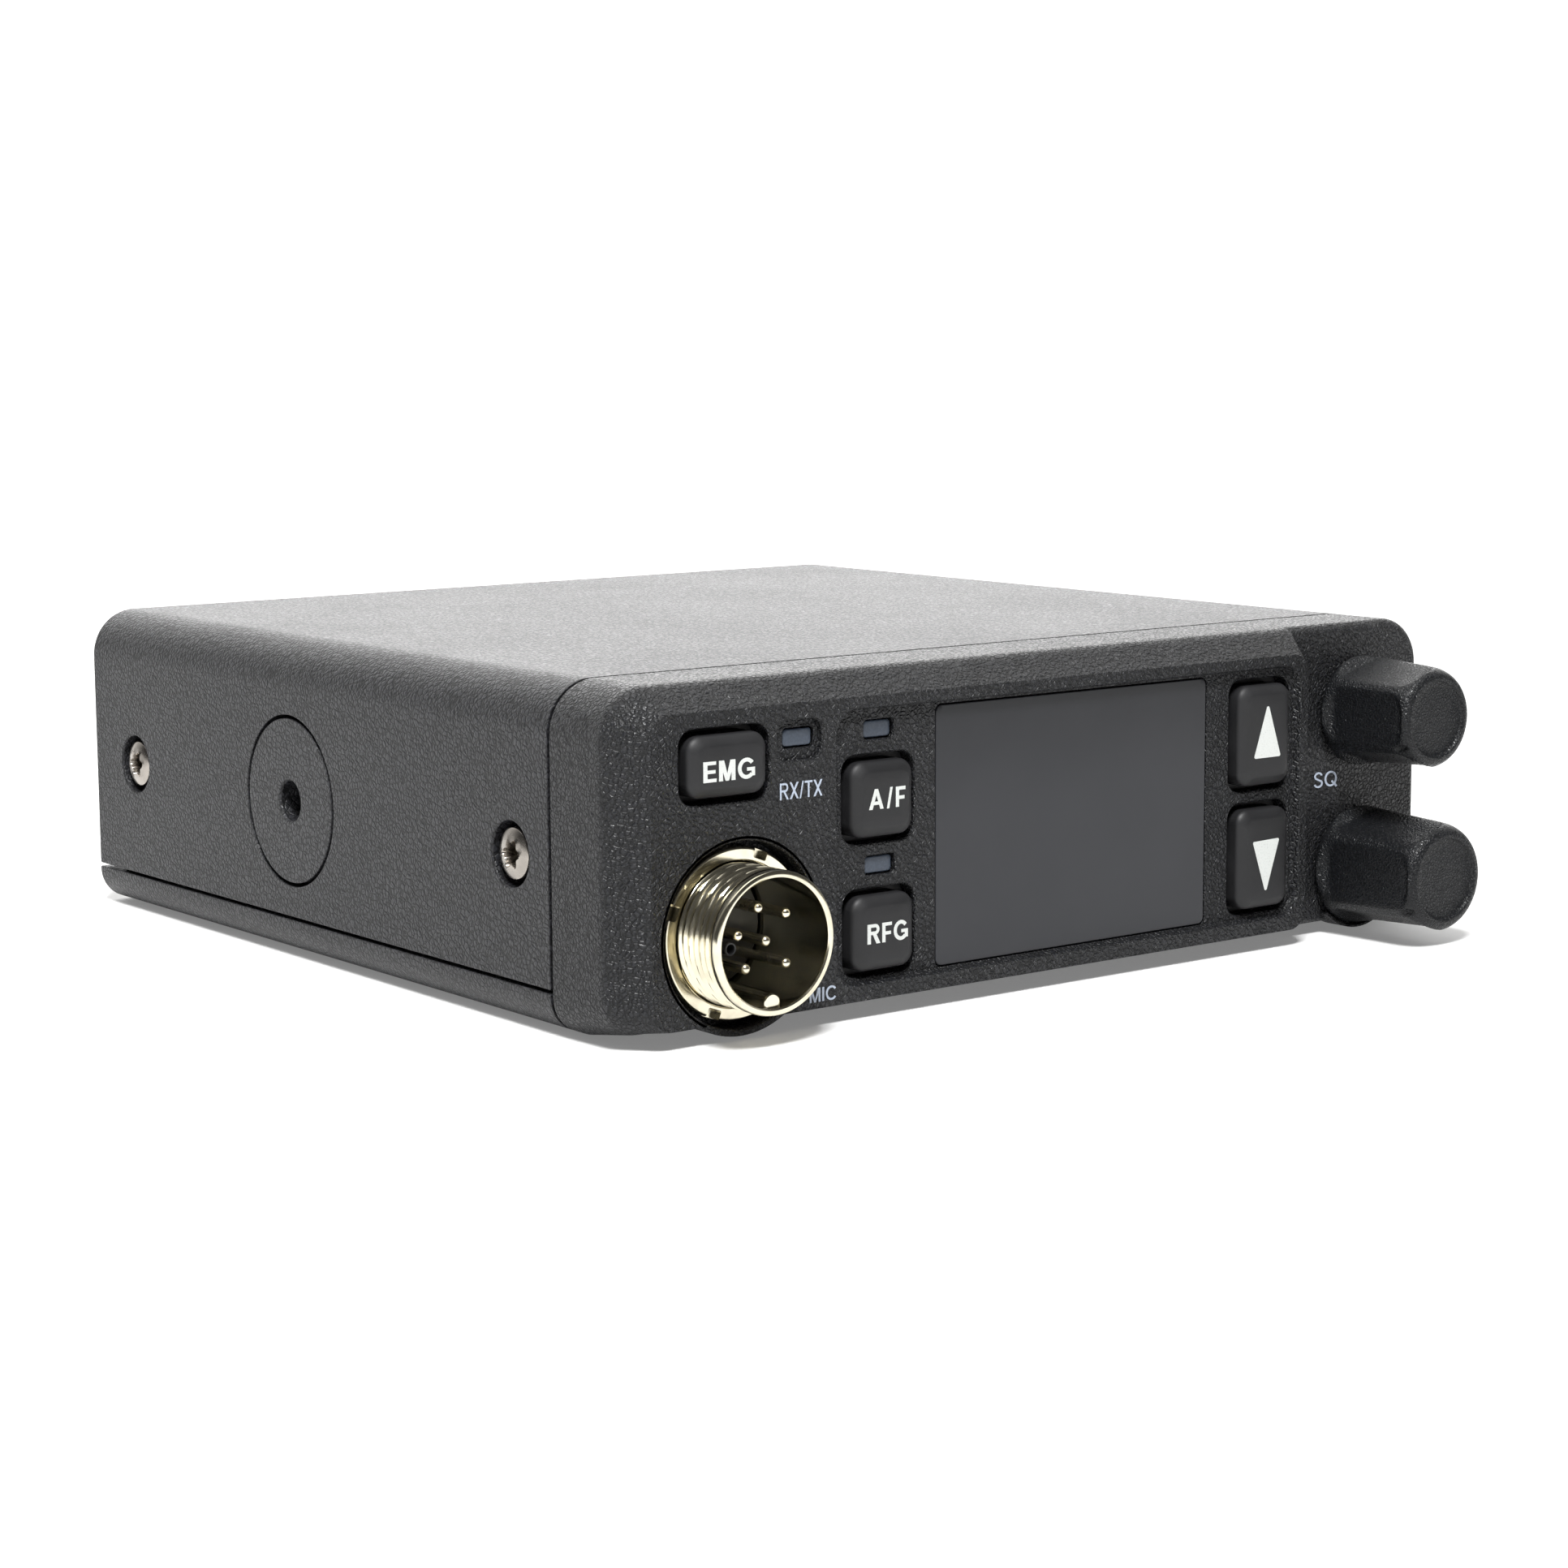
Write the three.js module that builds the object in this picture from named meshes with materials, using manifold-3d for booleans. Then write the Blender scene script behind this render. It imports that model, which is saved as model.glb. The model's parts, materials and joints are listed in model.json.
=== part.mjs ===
// Compact mobile transceiver: a flat box with a stepped front bezel, a colour display,
// five push buttons, two rotary controls and a threaded microphone socket.
//
// Design frame, millimetres: x = 0 on the left side, y = 0 on the joint between the bezel
// and the covers (the front is at negative y), z = 0 on the underside. The finished group
// is shifted so that its origin is the centre of the bounding box's bottom.

import * as THREE from 'three';
import { mergeVertices } from 'three/addons/utils/BufferGeometryUtils.js';
import Module from 'manifold-3d';

const wasm = await Module();
wasm.setup();

// ---------------------------------------------------------------- driving dimensions

const WIDTH = 128;
const HEIGHT = 39.3;
const COVER_LENGTH = 110.8;
const WALL = 2.2;
const TOP_RADIUS = 6;
const BOTTOM_RADIUS = 4.3;
const SEAM_HEIGHT = 4.84;
const SEAM_GAP = 0.4;
const FIT = 0.3;

const FACE_Y = -14;
const CHAMFER_Y = -10.3;
const UNDERSIDE_BREAK_Y = -2.5;
const KNOB_PLANE_Y = -10.2;
const KNOB_PLANE_EDGE = 1.3;
const FACE = { x0: 3.8, x1: 103.75, z0: 1.87, z1: 36.4, radius: 2.5 };
const SUNKEN = { x0: 29.05, x1: 102.5, z0: 3.7, z1: 35.1, radius: 3, depth: 1, slope: 0.8 };
const FLOOR_Y = FACE_Y + SUNKEN.depth;
const BEZEL_WALL = 2;
const INNER_Y = FLOOR_Y + BEZEL_WALL;

const DISPLAY = { x0: 44.25, x1: 87, z0: 4.25, z1: 34.45, radius: 0.8, thickness: 1.1 };
const BUTTON_TRAVEL = 0.8;
const BUTTON_GAP = 0.75;
const BUTTONS = [
  { name: 'button_emg', x: 13.6, z: 30.45, width: 10.6, height: 6.8, front: -15.2, flange: 0.6 },
  { name: 'button_af', x: 35.75, z: 24.65, width: 8.9, height: 8.6, front: -14.4, flange: 0.6 },
  { name: 'button_rfg', x: 35.85, z: 9.4, width: 8.9, height: 8.6, front: -14.4, flange: 0.6 },
  { name: 'button_up', x: 96.2, z: 26.85, width: 8.8, height: 12.4, front: -14.6, flange: 0.6 },
  { name: 'button_down', x: 96.2, z: 11.5, width: 8.8, height: 12.4, front: -14.6, flange: 0.6 },
];
const LIGHTS = [
  { name: 'light_pipe_rx_tx', x: 24.15, z: 32.5, front: FACE_Y + 0.9 },
  { name: 'light_pipe_af', x: 35.9, z: 32.45, front: FLOOR_Y + 0.5 },
  { name: 'light_pipe_rfg', x: 36.05, z: 17, front: FLOOR_Y + 0.5 },
];
const LIGHT = { width: 4, height: 1.95 };
const LIGHT_FRAME = { width: 6.5, height: 4.8, depth: 0.6 };

const MIC = { x: 15.85, z: 11.43, rim: -20.05, bore: 7.13, crest: 8, root: 7.5, floor: -7.8 };
const MIC_RECESS = { radius: 10.45, y: -10.6, lobe: 11.26 };
const MIC_RING = { radius: 9.65, y0: -13, y1: -10.75, slot: 1.8 };
const MIC_PIN = { radius: 0.6, tip: -18.6, circle: 3.9, angles: [45, 105, 165, 225, 315] };

const KNOB_X = 116.2;
const KNOBS = [
  { name: 'volume', z: 28.18, base: 7.05, tip: 6.1, y0: -24.2 },
  { name: 'squelch', z: 8.29, base: 7.6, tip: 6.55, y0: -26.2 },
];
const KNOB_BASE_Y = KNOB_PLANE_Y - 0.5;
const SKIRT = { radius: 8.15, inner: 7.95, y: -11.4, top: 2.4 };
const FLUTES = 5;
const SHAFT_RADIUS = 3;

const BOARD_Y = -3.1;
const BOARD_THICKNESS = 1.6;
const SWITCH_TOP = -7.3;

const SIDE_SCREWS = [{ y: 7.96, z: 19.3 }, { y: 99.2, z: 19.75 }];
const SCREW = { head: 3, headDepth: 0.05, headHeight: 2.55, shank: 1.5, well: 3.85, wellDepth: 2.6 };
const BOSS = { y: 57.7, z: 19.55, radius: 10.2, neck: 4.5, bore: 2.5, depth: 9 };
const CHASSIS_X = 4;
const CHASSIS_WALL = 2;
const SHELF_Z = 22.5;
const SHELF_THICKNESS = 1.5;
const CHASSIS_END = 105.4;
const MAIN_BOARD_Z = 25.4;
const BOTTOM_SCREW_AT = [[10, 16], [118, 16], [10, 90], [118, 90]];

const REAR = { y0: 105.8, plate: 2.4, fins: 2.2 };
const ANTENNA = { x: 36, z: 16, end: 122.2 };
const POWER = { x: 92, z: 16, width: 17, height: 10.5, end: 115.5 };
const JACK = { x: 66, z: 16 };
const SPEAKER = { x: 64, y: 54, radius: 28 };

// ---------------------------------------------------------------- materials

function material(color, roughness, metalness) {
  return new THREE.MeshStandardMaterial({ color, roughness, metalness });
}

const coverPaint = material(0x38393b, 0.7, 0.1);
const bezelPlastic = material(0x26272a, 0.65, 0);
const buttonRubber = material(0x17181a, 0.75, 0);
const knobPlastic = material(0x1b1c1e, 0.45, 0);
const displayGlass = material(0x45464b, 0.25, 0);
const lightLens = material(0x4a5260, 0.35, 0);
const nickel = material(0xcfc3a4, 0.25, 1);
const screwSteel = material(0xb9b8b4, 0.3, 1);
const pinMetal = material(0xd8d2c0, 0.2, 1);
const blackPlastic = material(0x141416, 0.5, 0);
const castAluminium = material(0x9a9c9f, 0.5, 1);
const blackCasting = material(0x202123, 0.6, 0.4);
const boardGreen = material(0x1f5a38, 0.5, 0);
const tinPlate = material(0xbfc1c2, 0.3, 1);
const conePaper = material(0x2a2724, 0.9, 0);
const whitePlastic = material(0xe6e2d8, 0.45, 0);

// ---------------------------------------------------------------- geometry helpers

// Merges shared vertices, drops collapsed triangles and turns the faces outward.
function closed(geometry) {
  geometry.deleteAttribute('normal');
  geometry.deleteAttribute('uv');
  const merged = mergeVertices(geometry, 1e-4);
  const corner = merged.attributes.position;
  const triangles = [];
  const a = new THREE.Vector3();
  const b = new THREE.Vector3();
  const c = new THREE.Vector3();
  let volume = 0;
  for (let i = 0; i < merged.index.count; i += 3) {
    const ids = [0, 1, 2].map((k) => merged.index.getX(i + k));
    if (new Set(ids).size < 3) continue;
    a.fromBufferAttribute(corner, ids[0]);
    b.fromBufferAttribute(corner, ids[1]);
    c.fromBufferAttribute(corner, ids[2]);
    volume += a.dot(b.cross(c));
    triangles.push(ids);
  }
  const ordered = volume < 0 ? triangles.map(([i, j, k]) => [i, k, j]) : triangles;
  merged.setIndex(ordered.flat());
  return merged;
}

function toSolid(geometry) {
  const mesh = closed(geometry);
  return new wasm.Manifold(new wasm.Mesh({
    numProp: 3,
    vertProperties: Float32Array.from(mesh.attributes.position.array),
    triVerts: Uint32Array.from(mesh.index.array),
  }));
}

function toGeometry(solid) {
  const mesh = solid.getMesh();
  const geometry = new THREE.BufferGeometry();
  geometry.setAttribute('position', new THREE.BufferAttribute(mesh.vertProperties, 3));
  geometry.setIndex(Array.from(mesh.triVerts));
  return geometry;
}

function join(...geometries) {
  return toGeometry(geometries.map(toSolid).reduce((sum, solid) => sum.add(solid)));
}

function cut(base, ...tools) {
  return toGeometry(tools.map(toSolid).reduce((rest, tool) => rest.subtract(tool), toSolid(base)));
}

// Outline of a rectangle with its own radius at each corner: bottom left, bottom right,
// top right, top left. Points run counterclockwise.
function roundedOutline(x0, x1, z0, z1, radii, segments = 5) {
  const centres = [
    [x0 + radii[0], z0 + radii[0], Math.PI],
    [x1 - radii[1], z0 + radii[1], 1.5 * Math.PI],
    [x1 - radii[2], z1 - radii[2], 0],
    [x0 + radii[3], z1 - radii[3], 0.5 * Math.PI],
  ];
  return centres.flatMap(([cx, cz, start], corner) => {
    const points = [];
    for (let i = 0; i <= segments; i += 1) {
      const angle = start + (0.5 * Math.PI * i) / segments;
      const r = radii[corner];
      points.push(new THREE.Vector2(cx + r * Math.cos(angle), cz + r * Math.sin(angle)));
    }
    return points;
  });
}

function boxOutline(cx, cz, width, height, radius, segments = 4) {
  return roundedOutline(
    cx - width / 2, cx + width / 2, cz - height / 2, cz + height / 2, Array(4).fill(radius), segments,
  );
}

function circleOutline(cx, cz, radius, segments = 24, start = 0) {
  return Array.from({ length: segments }, (_, i) => {
    const angle = start + (2 * Math.PI * i) / segments;
    return new THREE.Vector2(cx + radius * Math.cos(angle), cz + radius * Math.sin(angle));
  });
}

// The transceiver's outer section, moved inward by inset, with its underside at z0.
function bodyOutline(inset, z0 = 0) {
  const low = Math.max(BOTTOM_RADIUS - inset, 0.2);
  const high = Math.max(TOP_RADIUS - inset, 0.2);
  return roundedOutline(inset, WIDTH - inset, z0 + inset, HEIGHT - inset, [low, low, high, high], 6);
}

// The bezel's underside is level near the covers and then rises straight to the face.
function undersideAt(y) {
  return Math.max(0, (FACE.z0 * (UNDERSIDE_BREAK_Y - y)) / (UNDERSIDE_BREAK_Y - FACE_Y));
}

function extruded(outline, depth, holes = []) {
  const shape = new THREE.Shape(outline);
  shape.holes = holes.map((hole) => new THREE.Path(hole));
  return new THREE.ExtrudeGeometry(shape, { depth, bevelEnabled: false });
}

// An (x, z) outline pushed along y, an (x, y) outline along z, and a (y, z) outline along x.
function prismY(outline, y0, y1, holes) {
  return extruded(outline, y1 - y0, holes).rotateX(Math.PI / 2).translate(0, y1, 0);
}

function prismZ(outline, z0, z1, holes) {
  return extruded(outline, z1 - z0, holes).translate(0, 0, z0);
}

function prismX(outline, x0, x1, holes) {
  const turn = new THREE.Matrix4().makeBasis(
    new THREE.Vector3(0, 1, 0), new THREE.Vector3(0, 0, 1), new THREE.Vector3(1, 0, 0),
  );
  return extruded(outline, x1 - x0, holes).applyMatrix4(turn).translate(x0, 0, 0);
}

function box(x0, x1, y0, y1, z0, z1) {
  return new THREE.BoxGeometry(x1 - x0, y1 - y0, z1 - z0)
    .translate((x0 + x1) / 2, (y0 + y1) / 2, (z0 + z1) / 2);
}

function cylinderY(radius, x, z, y0, y1, segments = 24) {
  return new THREE.CylinderGeometry(radius, radius, y1 - y0, segments).translate(x, (y0 + y1) / 2, z);
}

function cylinderX(radius, y, z, x0, x1, segments = 24) {
  return new THREE.CylinderGeometry(radius, radius, x1 - x0, segments)
    .rotateZ(Math.PI / 2).translate((x0 + x1) / 2, y, z);
}

function cylinderZ(radius, x, y, z0, z1, segments = 24) {
  return new THREE.CylinderGeometry(radius, radius, z1 - z0, segments)
    .rotateX(Math.PI / 2).translate(x, y, (z0 + z1) / 2);
}

// A [radius, height] profile turned about the local y axis.
function lathe(profile, segments = 32) {
  return new THREE.LatheGeometry(profile.map(([r, h]) => new THREE.Vector2(r, h)), segments);
}

// Closed skin over equal-length (x, z) outlines placed at rising or falling y.
function loft(sections) {
  const count = sections[0].outline.length;
  const positions = sections.flatMap(({ y, outline }) => outline.flatMap((p) => [p.x, y, p.y]));
  const index = [];
  for (let s = 0; s + 1 < sections.length; s += 1) {
    for (let i = 0; i < count; i += 1) {
      const a = s * count + i;
      const b = s * count + ((i + 1) % count);
      index.push(a, b, b + count, a, b + count, a + count);
    }
  }
  const caps = THREE.ShapeUtils.triangulateShape(sections[0].outline, []);
  const last = (sections.length - 1) * count;
  for (const [a, b, c] of caps) {
    index.push(a, c, b, last + a, last + b, last + c);
  }
  const geometry = new THREE.BufferGeometry();
  geometry.setAttribute('position', new THREE.Float32BufferAttribute(positions, 3));
  geometry.setIndex(index);
  return geometry;
}

const radio = new THREE.Group();

function addPiece(name, geometry, look) {
  const mesh = new THREE.Mesh(closed(geometry), look);
  mesh.name = name;
  radio.add(mesh);
  return mesh;
}

// ---------------------------------------------------------------- casing

function screwWells(mirror) {
  const side = (x) => (mirror ? WIDTH - x : x);
  const spans = (x0, x1) => [side(x0), side(x1)].sort((a, b) => a - b);
  return SIDE_SCREWS.flatMap(({ y, z }) => [
    cylinderX(SCREW.well, y, z, ...spans(-1, SCREW.wellDepth), 20),
    cylinderX(SCREW.shank + 0.2, y, z, ...spans(0, 5), 12),
  ]);
}

function topCover() {
  const z0 = SEAM_HEIGHT + SEAM_GAP / 2;
  const shell = cut(
    prismY(bodyOutline(0), SEAM_GAP / 2, COVER_LENGTH),
    prismY(bodyOutline(WALL), -1, COVER_LENGTH + 1),
    box(-1, WIDTH + 1, -1, COVER_LENGTH + 1, -1, z0),
  );
  const pads = SIDE_SCREWS.flatMap(({ y, z }) => [
    cylinderX(5.4, y, z, WALL - 0.4, 3.7, 16),
    cylinderX(5.4, y, z, WIDTH - 3.7, WIDTH - WALL + 0.4, 16),
  ]);
  const bossHole = cylinderX(BOSS.radius + 0.35, BOSS.y, BOSS.z, -1, WALL + 1, 32);
  const otherHole = cylinderX(BOSS.radius + 0.35, BOSS.y, BOSS.z, WIDTH - WALL - 1, WIDTH + 1, 32);
  return cut(join(shell, ...pads), ...screwWells(false), ...screwWells(true), bossHole, otherHole);
}

function bottomCover() {
  const z1 = SEAM_HEIGHT - SEAM_GAP / 2;
  const countersinks = BOTTOM_SCREW_AT.flatMap(([x, y]) => [
    cylinderZ(2.9, x, y, -1, 1.3, 16),
    cylinderZ(1.7, x, y, -1, WALL + 1, 10),
  ]);
  const slots = [-3, -2, -1, 0, 1, 2, 3].map((row) => {
    const y = SPEAKER.y + row * 6;
    const half = Math.sqrt((SPEAKER.radius - 4) ** 2 - (row * 6) ** 2);
    return prismZ(boxOutline(SPEAKER.x, y, 2 * half, 2, 0.95, 2), -1, WALL + 1);
  });
  return cut(
    prismY(bodyOutline(0), SEAM_GAP / 2, COVER_LENGTH),
    prismY(bodyOutline(WALL), -1, COVER_LENGTH + 1),
    box(-1, WIDTH + 1, -1, COVER_LENGTH + 1, z1, HEIGHT + 1),
    ...countersinks,
    ...slots,
  );
}

// The raised part of the bezel: full section on the chamfer line, then narrowing to the face.
function bezelBlock() {
  const section = (y) => ({
    y,
    outline: roundedOutline(
      0, FACE.x1 + 0.3, undersideAt(y), HEIGHT, [BOTTOM_RADIUS, 0.5, 0.5, TOP_RADIUS], 6,
    ),
  });
  const face = roundedOutline(FACE.x0, FACE.x1, FACE.z0, FACE.z1, Array(4).fill(FACE.radius), 6);
  return loft([
    section(KNOB_PLANE_Y + 1),
    section(CHAMFER_Y),
    { y: FACE_Y, outline: face },
  ]);
}

function sunkenZone() {
  const outline = (inset) => roundedOutline(
    SUNKEN.x0 + inset, SUNKEN.x1 - inset, SUNKEN.z0 + inset * 0.6, SUNKEN.z1 - inset * 0.6,
    Array(4).fill(SUNKEN.radius - inset * 0.5), 5,
  );
  return loft([
    { y: FACE_Y - 0.25, outline: outline(-SUNKEN.slope * 0.25) },
    { y: FLOOR_Y, outline: outline(SUNKEN.slope) },
  ]);
}

function frontBezel() {
  const edgeY = KNOB_PLANE_Y + KNOB_PLANE_EDGE;
  const shell = loft([
    { y: -SEAM_GAP / 2, outline: bodyOutline(0) },
    { y: UNDERSIDE_BREAK_Y, outline: bodyOutline(0) },
    { y: edgeY, outline: bodyOutline(0, undersideAt(edgeY)) },
    {
      y: KNOB_PLANE_Y,
      outline: bodyOutline(KNOB_PLANE_EDGE, undersideAt(KNOB_PLANE_Y) - KNOB_PLANE_EDGE / 2),
    },
  ]);
  const squelchZ = KNOBS[1].z;
  const skirt = cut(
    cylinderY(SKIRT.radius, KNOB_X, squelchZ, SKIRT.y, KNOB_PLANE_Y + 2, 40),
    cylinderY(SKIRT.inner, KNOB_X, squelchZ, SKIRT.y - 1, KNOB_PLANE_Y, 40),
    box(FACE.x1, WIDTH, SKIRT.y - 1, KNOB_PLANE_Y, SKIRT.top, HEIGHT),
  );
  const micLobe = cylinderY(MIC_RECESS.lobe, MIC.x, MIC.z, FACE_Y, KNOB_PLANE_Y + 1, 40);
  const apertures = BUTTONS.map(({ x, z, width, height }) => prismY(
    boxOutline(x, z, width + 2 * BUTTON_GAP, height + 2 * BUTTON_GAP, 1.9, 3), FACE_Y - 2, INNER_Y + 1,
  ));
  const lightHoles = LIGHTS.map(({ x, z }) => prismY(
    boxOutline(x, z, LIGHT.width + 0.2, LIGHT.height + 0.2, 0.5, 2), FACE_Y - 1, INNER_Y + 1,
  ));
  const lightFrame = prismY(
    boxOutline(LIGHTS[0].x - 0.25, LIGHTS[0].z - 0.2, LIGHT_FRAME.width, LIGHT_FRAME.height, 1.4),
    FACE_Y - 1, FACE_Y + LIGHT_FRAME.depth,
  );
  const { x0, x1, z0, z1, radius, thickness } = DISPLAY;
  const windowSeat = prismY(
    roundedOutline(x0 - 0.15, x1 + 0.15, z0 - 0.15, z1 + 0.15, Array(4).fill(radius), 3),
    FLOOR_Y - 2, FLOOR_Y + thickness + 0.1,
  );
  const viewOpening = box(x0 + 2, x1 - 2, FLOOR_Y - 1, INNER_Y + 1, z0 + 2, z1 - 2);
  const deepCavity = box(5.6, 102.2, INNER_Y, -6, 2.9, 35.8);
  const frontCavity = prismY(bodyOutline(WALL), KNOB_PLANE_Y + BEZEL_WALL, 1);
  const micFloor = cylinderY(MIC_RECESS.radius + 0.4, MIC.x, MIC.z, INNER_Y - 0.5, -8.6, 28);
  const flangeRoom = cylinderY(9.1, MIC.x, MIC.z, -8.6, -6, 28);
  const cavity = cut(deepCavity, micFloor);
  const shaftHoles = KNOBS.map(({ z }) => cylinderY(3.5, KNOB_X, z, FACE_Y, 0));
  return cut(
    join(shell, bezelBlock(), micLobe, skirt),
    sunkenZone(),
    cavity,
    flangeRoom,
    frontCavity,
    lightFrame,
    windowSeat,
    viewOpening,
    cylinderY(MIC_RECESS.radius, MIC.x, MIC.z, FACE_Y - 1, MIC_RECESS.y, 36),
    cylinderY(MIC.crest + 0.2, MIC.x, MIC.z, FACE_Y - 1, 0, 28),
    ...apertures,
    ...lightHoles,
    ...shaftHoles,
  );
}

addPiece('top_cover', topCover(), coverPaint);
addPiece('bottom_cover', bottomCover(), coverPaint);
addPiece('front_bezel', frontBezel(), bezelPlastic);

// ---------------------------------------------------------------- front controls

addPiece('display_window', prismY(
  roundedOutline(DISPLAY.x0, DISPLAY.x1, DISPLAY.z0, DISPLAY.z1, Array(4).fill(DISPLAY.radius), 3),
  FLOOR_Y + 0.02, FLOOR_Y + DISPLAY.thickness,
), displayGlass);
addPiece('lcd_module', box(
  DISPLAY.x0 + 1.2, DISPLAY.x1 - 1.2, INNER_Y + 0.2, INNER_Y + 3.8, DISPLAY.z0 + 1.1, DISPLAY.z1 - 1.1,
), tinPlate);

// A cap with bevelled edges, a flange behind the bezel wall and a stem towards its switch.
function button({ x, z, width, height, front, flange }) {
  const bevel = 0.55;
  const outline = (inset) => boxOutline(x, z, width - 2 * inset, height - 2 * inset, 1.5 - inset * 0.5, 3);
  const cap = loft([
    { y: front, outline: outline(bevel) },
    { y: front + bevel, outline: outline(0) },
    { y: INNER_Y + 0.5, outline: outline(0) },
  ]);
  const spread = 2 * (BUTTON_GAP + flange);
  const narrow = height > width ? width + 1 : width + spread;
  const plate = prismY(boxOutline(x, z, narrow, height + spread, 0.8, 1), INNER_Y + 0.2, INNER_Y + 1.2);
  const stem = cylinderY(2, x, z, INNER_Y + 1, SWITCH_TOP - BUTTON_TRAVEL - 0.05, 10);
  return join(cap, plate, stem);
}

for (const spec of BUTTONS) {
  addPiece(spec.name, button(spec), buttonRubber);
}

for (const { name, x, z, front } of LIGHTS) {
  const bar = prismY(boxOutline(x, z, LIGHT.width, LIGHT.height, 0.45, 2), front, -5);
  const collar = prismY(boxOutline(x, z, LIGHT.width + 1.1, LIGHT.height + 0.7, 0.4, 2), INNER_Y + 0.2, -9.8);
  addPiece(name, join(bar, collar), lightLens);
}

function tactSwitch(x, z) {
  const rear = BOARD_Y - 0.1;
  return join(box(x - 3, x + 3, -6.6, rear, z - 3, z + 3), cylinderY(1.7, x, z, SWITCH_TOP, -6, 8));
}

for (const { name, x, z } of BUTTONS) {
  addPiece(name.replace('button', 'switch'), tactSwitch(x, z), blackPlastic);
}

// Fluted knob: round at the foot, scalloped along the barrel and round again at the cap ring.
function knobOutline(radius, depth) {
  const segments = 6 * FLUTES;
  return Array.from({ length: segments }, (_, i) => {
    const angle = (2 * Math.PI * i) / segments;
    const across = ((i % 6) - 3) / 2.6;
    const scallop = Math.max(0, 1 - across * across);
    const r = radius - depth * scallop;
    return new THREE.Vector2(KNOB_X + r * Math.cos(angle), r * Math.sin(angle));
  });
}

function knob({ z, base, tip, y0 }) {
  const length = KNOB_BASE_Y - y0;
  const steps = [
    [0, tip - 0.75, 0],
    [0.6, tip - 0.1, 0],
    [2.2, tip + 0.1, 0],
    [3, tip + 0.2, 0.75],
    [length * 0.82, base - 0.25, 0.75],
    [length * 0.9, base, 0],
    [length, base - 0.1, 0],
  ];
  const body = loft(steps.map(([along, radius, depth]) => ({
    y: y0 + along,
    outline: knobOutline(radius, depth).map((p) => new THREE.Vector2(p.x, p.y + z)),
  })));
  const dish = cylinderY(tip - 1.4, KNOB_X, z, y0 - 1, y0 + 0.35, 24);
  const bore = cylinderY(SHAFT_RADIUS + 0.1, KNOB_X, z, y0 + 3.2, 0, 20);
  return cut(body, dish, bore);
}

for (const spec of KNOBS) {
  addPiece(`${spec.name}_knob`, knob(spec), knobPlastic);
  addPiece(`${spec.name}_shaft`, cylinderY(SHAFT_RADIUS, KNOB_X, spec.z, spec.y0 + 3.4, -4.2, 20), tinPlate);
  const body = cut(
    join(
      box(KNOB_X - 5, KNOB_X + 5, -7.3, BOARD_Y - 0.1, spec.z - 5, spec.z + 5.5),
      cylinderY(4.4, KNOB_X, spec.z, -7.55, -7, 16),
    ),
    cylinderY(SHAFT_RADIUS + 0.09, KNOB_X, spec.z, -8, -4, 32),
  );
  addPiece(`${spec.name}_potentiometer`, body, castAluminium);
}

addPiece('front_circuit_board', box(
  5, 123, BOARD_Y, BOARD_Y + BOARD_THICKNESS, 3, 35.5,
), boardGreen);

// ---------------------------------------------------------------- microphone socket

function micShell() {
  const ridges = [];
  for (let turn = 0; turn < 7; turn += 1) {
    const y = MIC.rim + 1.1 + turn;
    ridges.push([MIC.root, y], [MIC.crest, y + 0.5]);
  }
  const profile = [
    [MIC.bore, MIC.rim],
    [MIC.crest, MIC.rim],
    [MIC.crest, MIC.rim + 0.95],
    ...ridges,
    [MIC.crest - 0.05, MIC.rim + 8.2],
    [MIC.crest - 0.05, -8.4],
    [8.9, -8.4],
    [8.9, -7],
    [MIC.crest - 0.1, -7],
    [MIC.crest - 0.1, -5],
    [MIC.bore, -5],
    [MIC.bore, MIC.rim],
  ];
  const barrel = lathe(profile, 28).translate(MIC.x, 0, MIC.z);
  const key = cylinderY(1.1, MIC.x, MIC.z - MIC.bore + 0.75, MIC.rim + 1, MIC.floor - 0.3, 10);
  return join(barrel, key);
}

function micLockRing() {
  const { radius, y0, y1, slot } = MIC_RING;
  const ring = prismY(
    circleOutline(MIC.x, MIC.z, radius, 32), y0, y1, [circleOutline(MIC.x, MIC.z, MIC.crest + 0.15, 32)],
  );
  const notches = [0, 1, 2, 3].map((quarter) => box(radius - 1.1, radius + 1, y0 - 1, y0 + 1, -slot / 2, slot / 2)
    .rotateY(-THREE.MathUtils.degToRad(69 + 90 * quarter)).translate(MIC.x, 0, MIC.z));
  return cut(ring, ...notches);
}

const pinPlaces = [
  [MIC.x, MIC.z],
  ...MIC_PIN.angles.map((degrees) => {
    const angle = THREE.MathUtils.degToRad(degrees);
    return [MIC.x + MIC_PIN.circle * Math.cos(angle), MIC.z + MIC_PIN.circle * Math.sin(angle)];
  }),
];

addPiece('mic_shell', micShell(), nickel);
addPiece('mic_lock_ring', micLockRing(), nickel);
addPiece('mic_insulator', prismY(
  circleOutline(MIC.x, MIC.z, MIC.bore - 0.18, 28), MIC.floor, -4,
  pinPlaces.map(([x, z]) => circleOutline(x, z, MIC_PIN.radius + 0.12, 8)),
), blackPlastic);

pinPlaces.forEach(([x, z], i) => {
  const { radius, tip } = MIC_PIN;
  const pin = lathe([
    [0, tip], [radius * 0.7, tip + 0.15], [radius, tip + 0.5], [radius, -3.3], [0, -3.3],
  ], 8);
  addPiece(`mic_pin_${i + 1}`, pin.translate(x, 0, z), pinMetal);
});

// ---------------------------------------------------------------- sides

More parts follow.
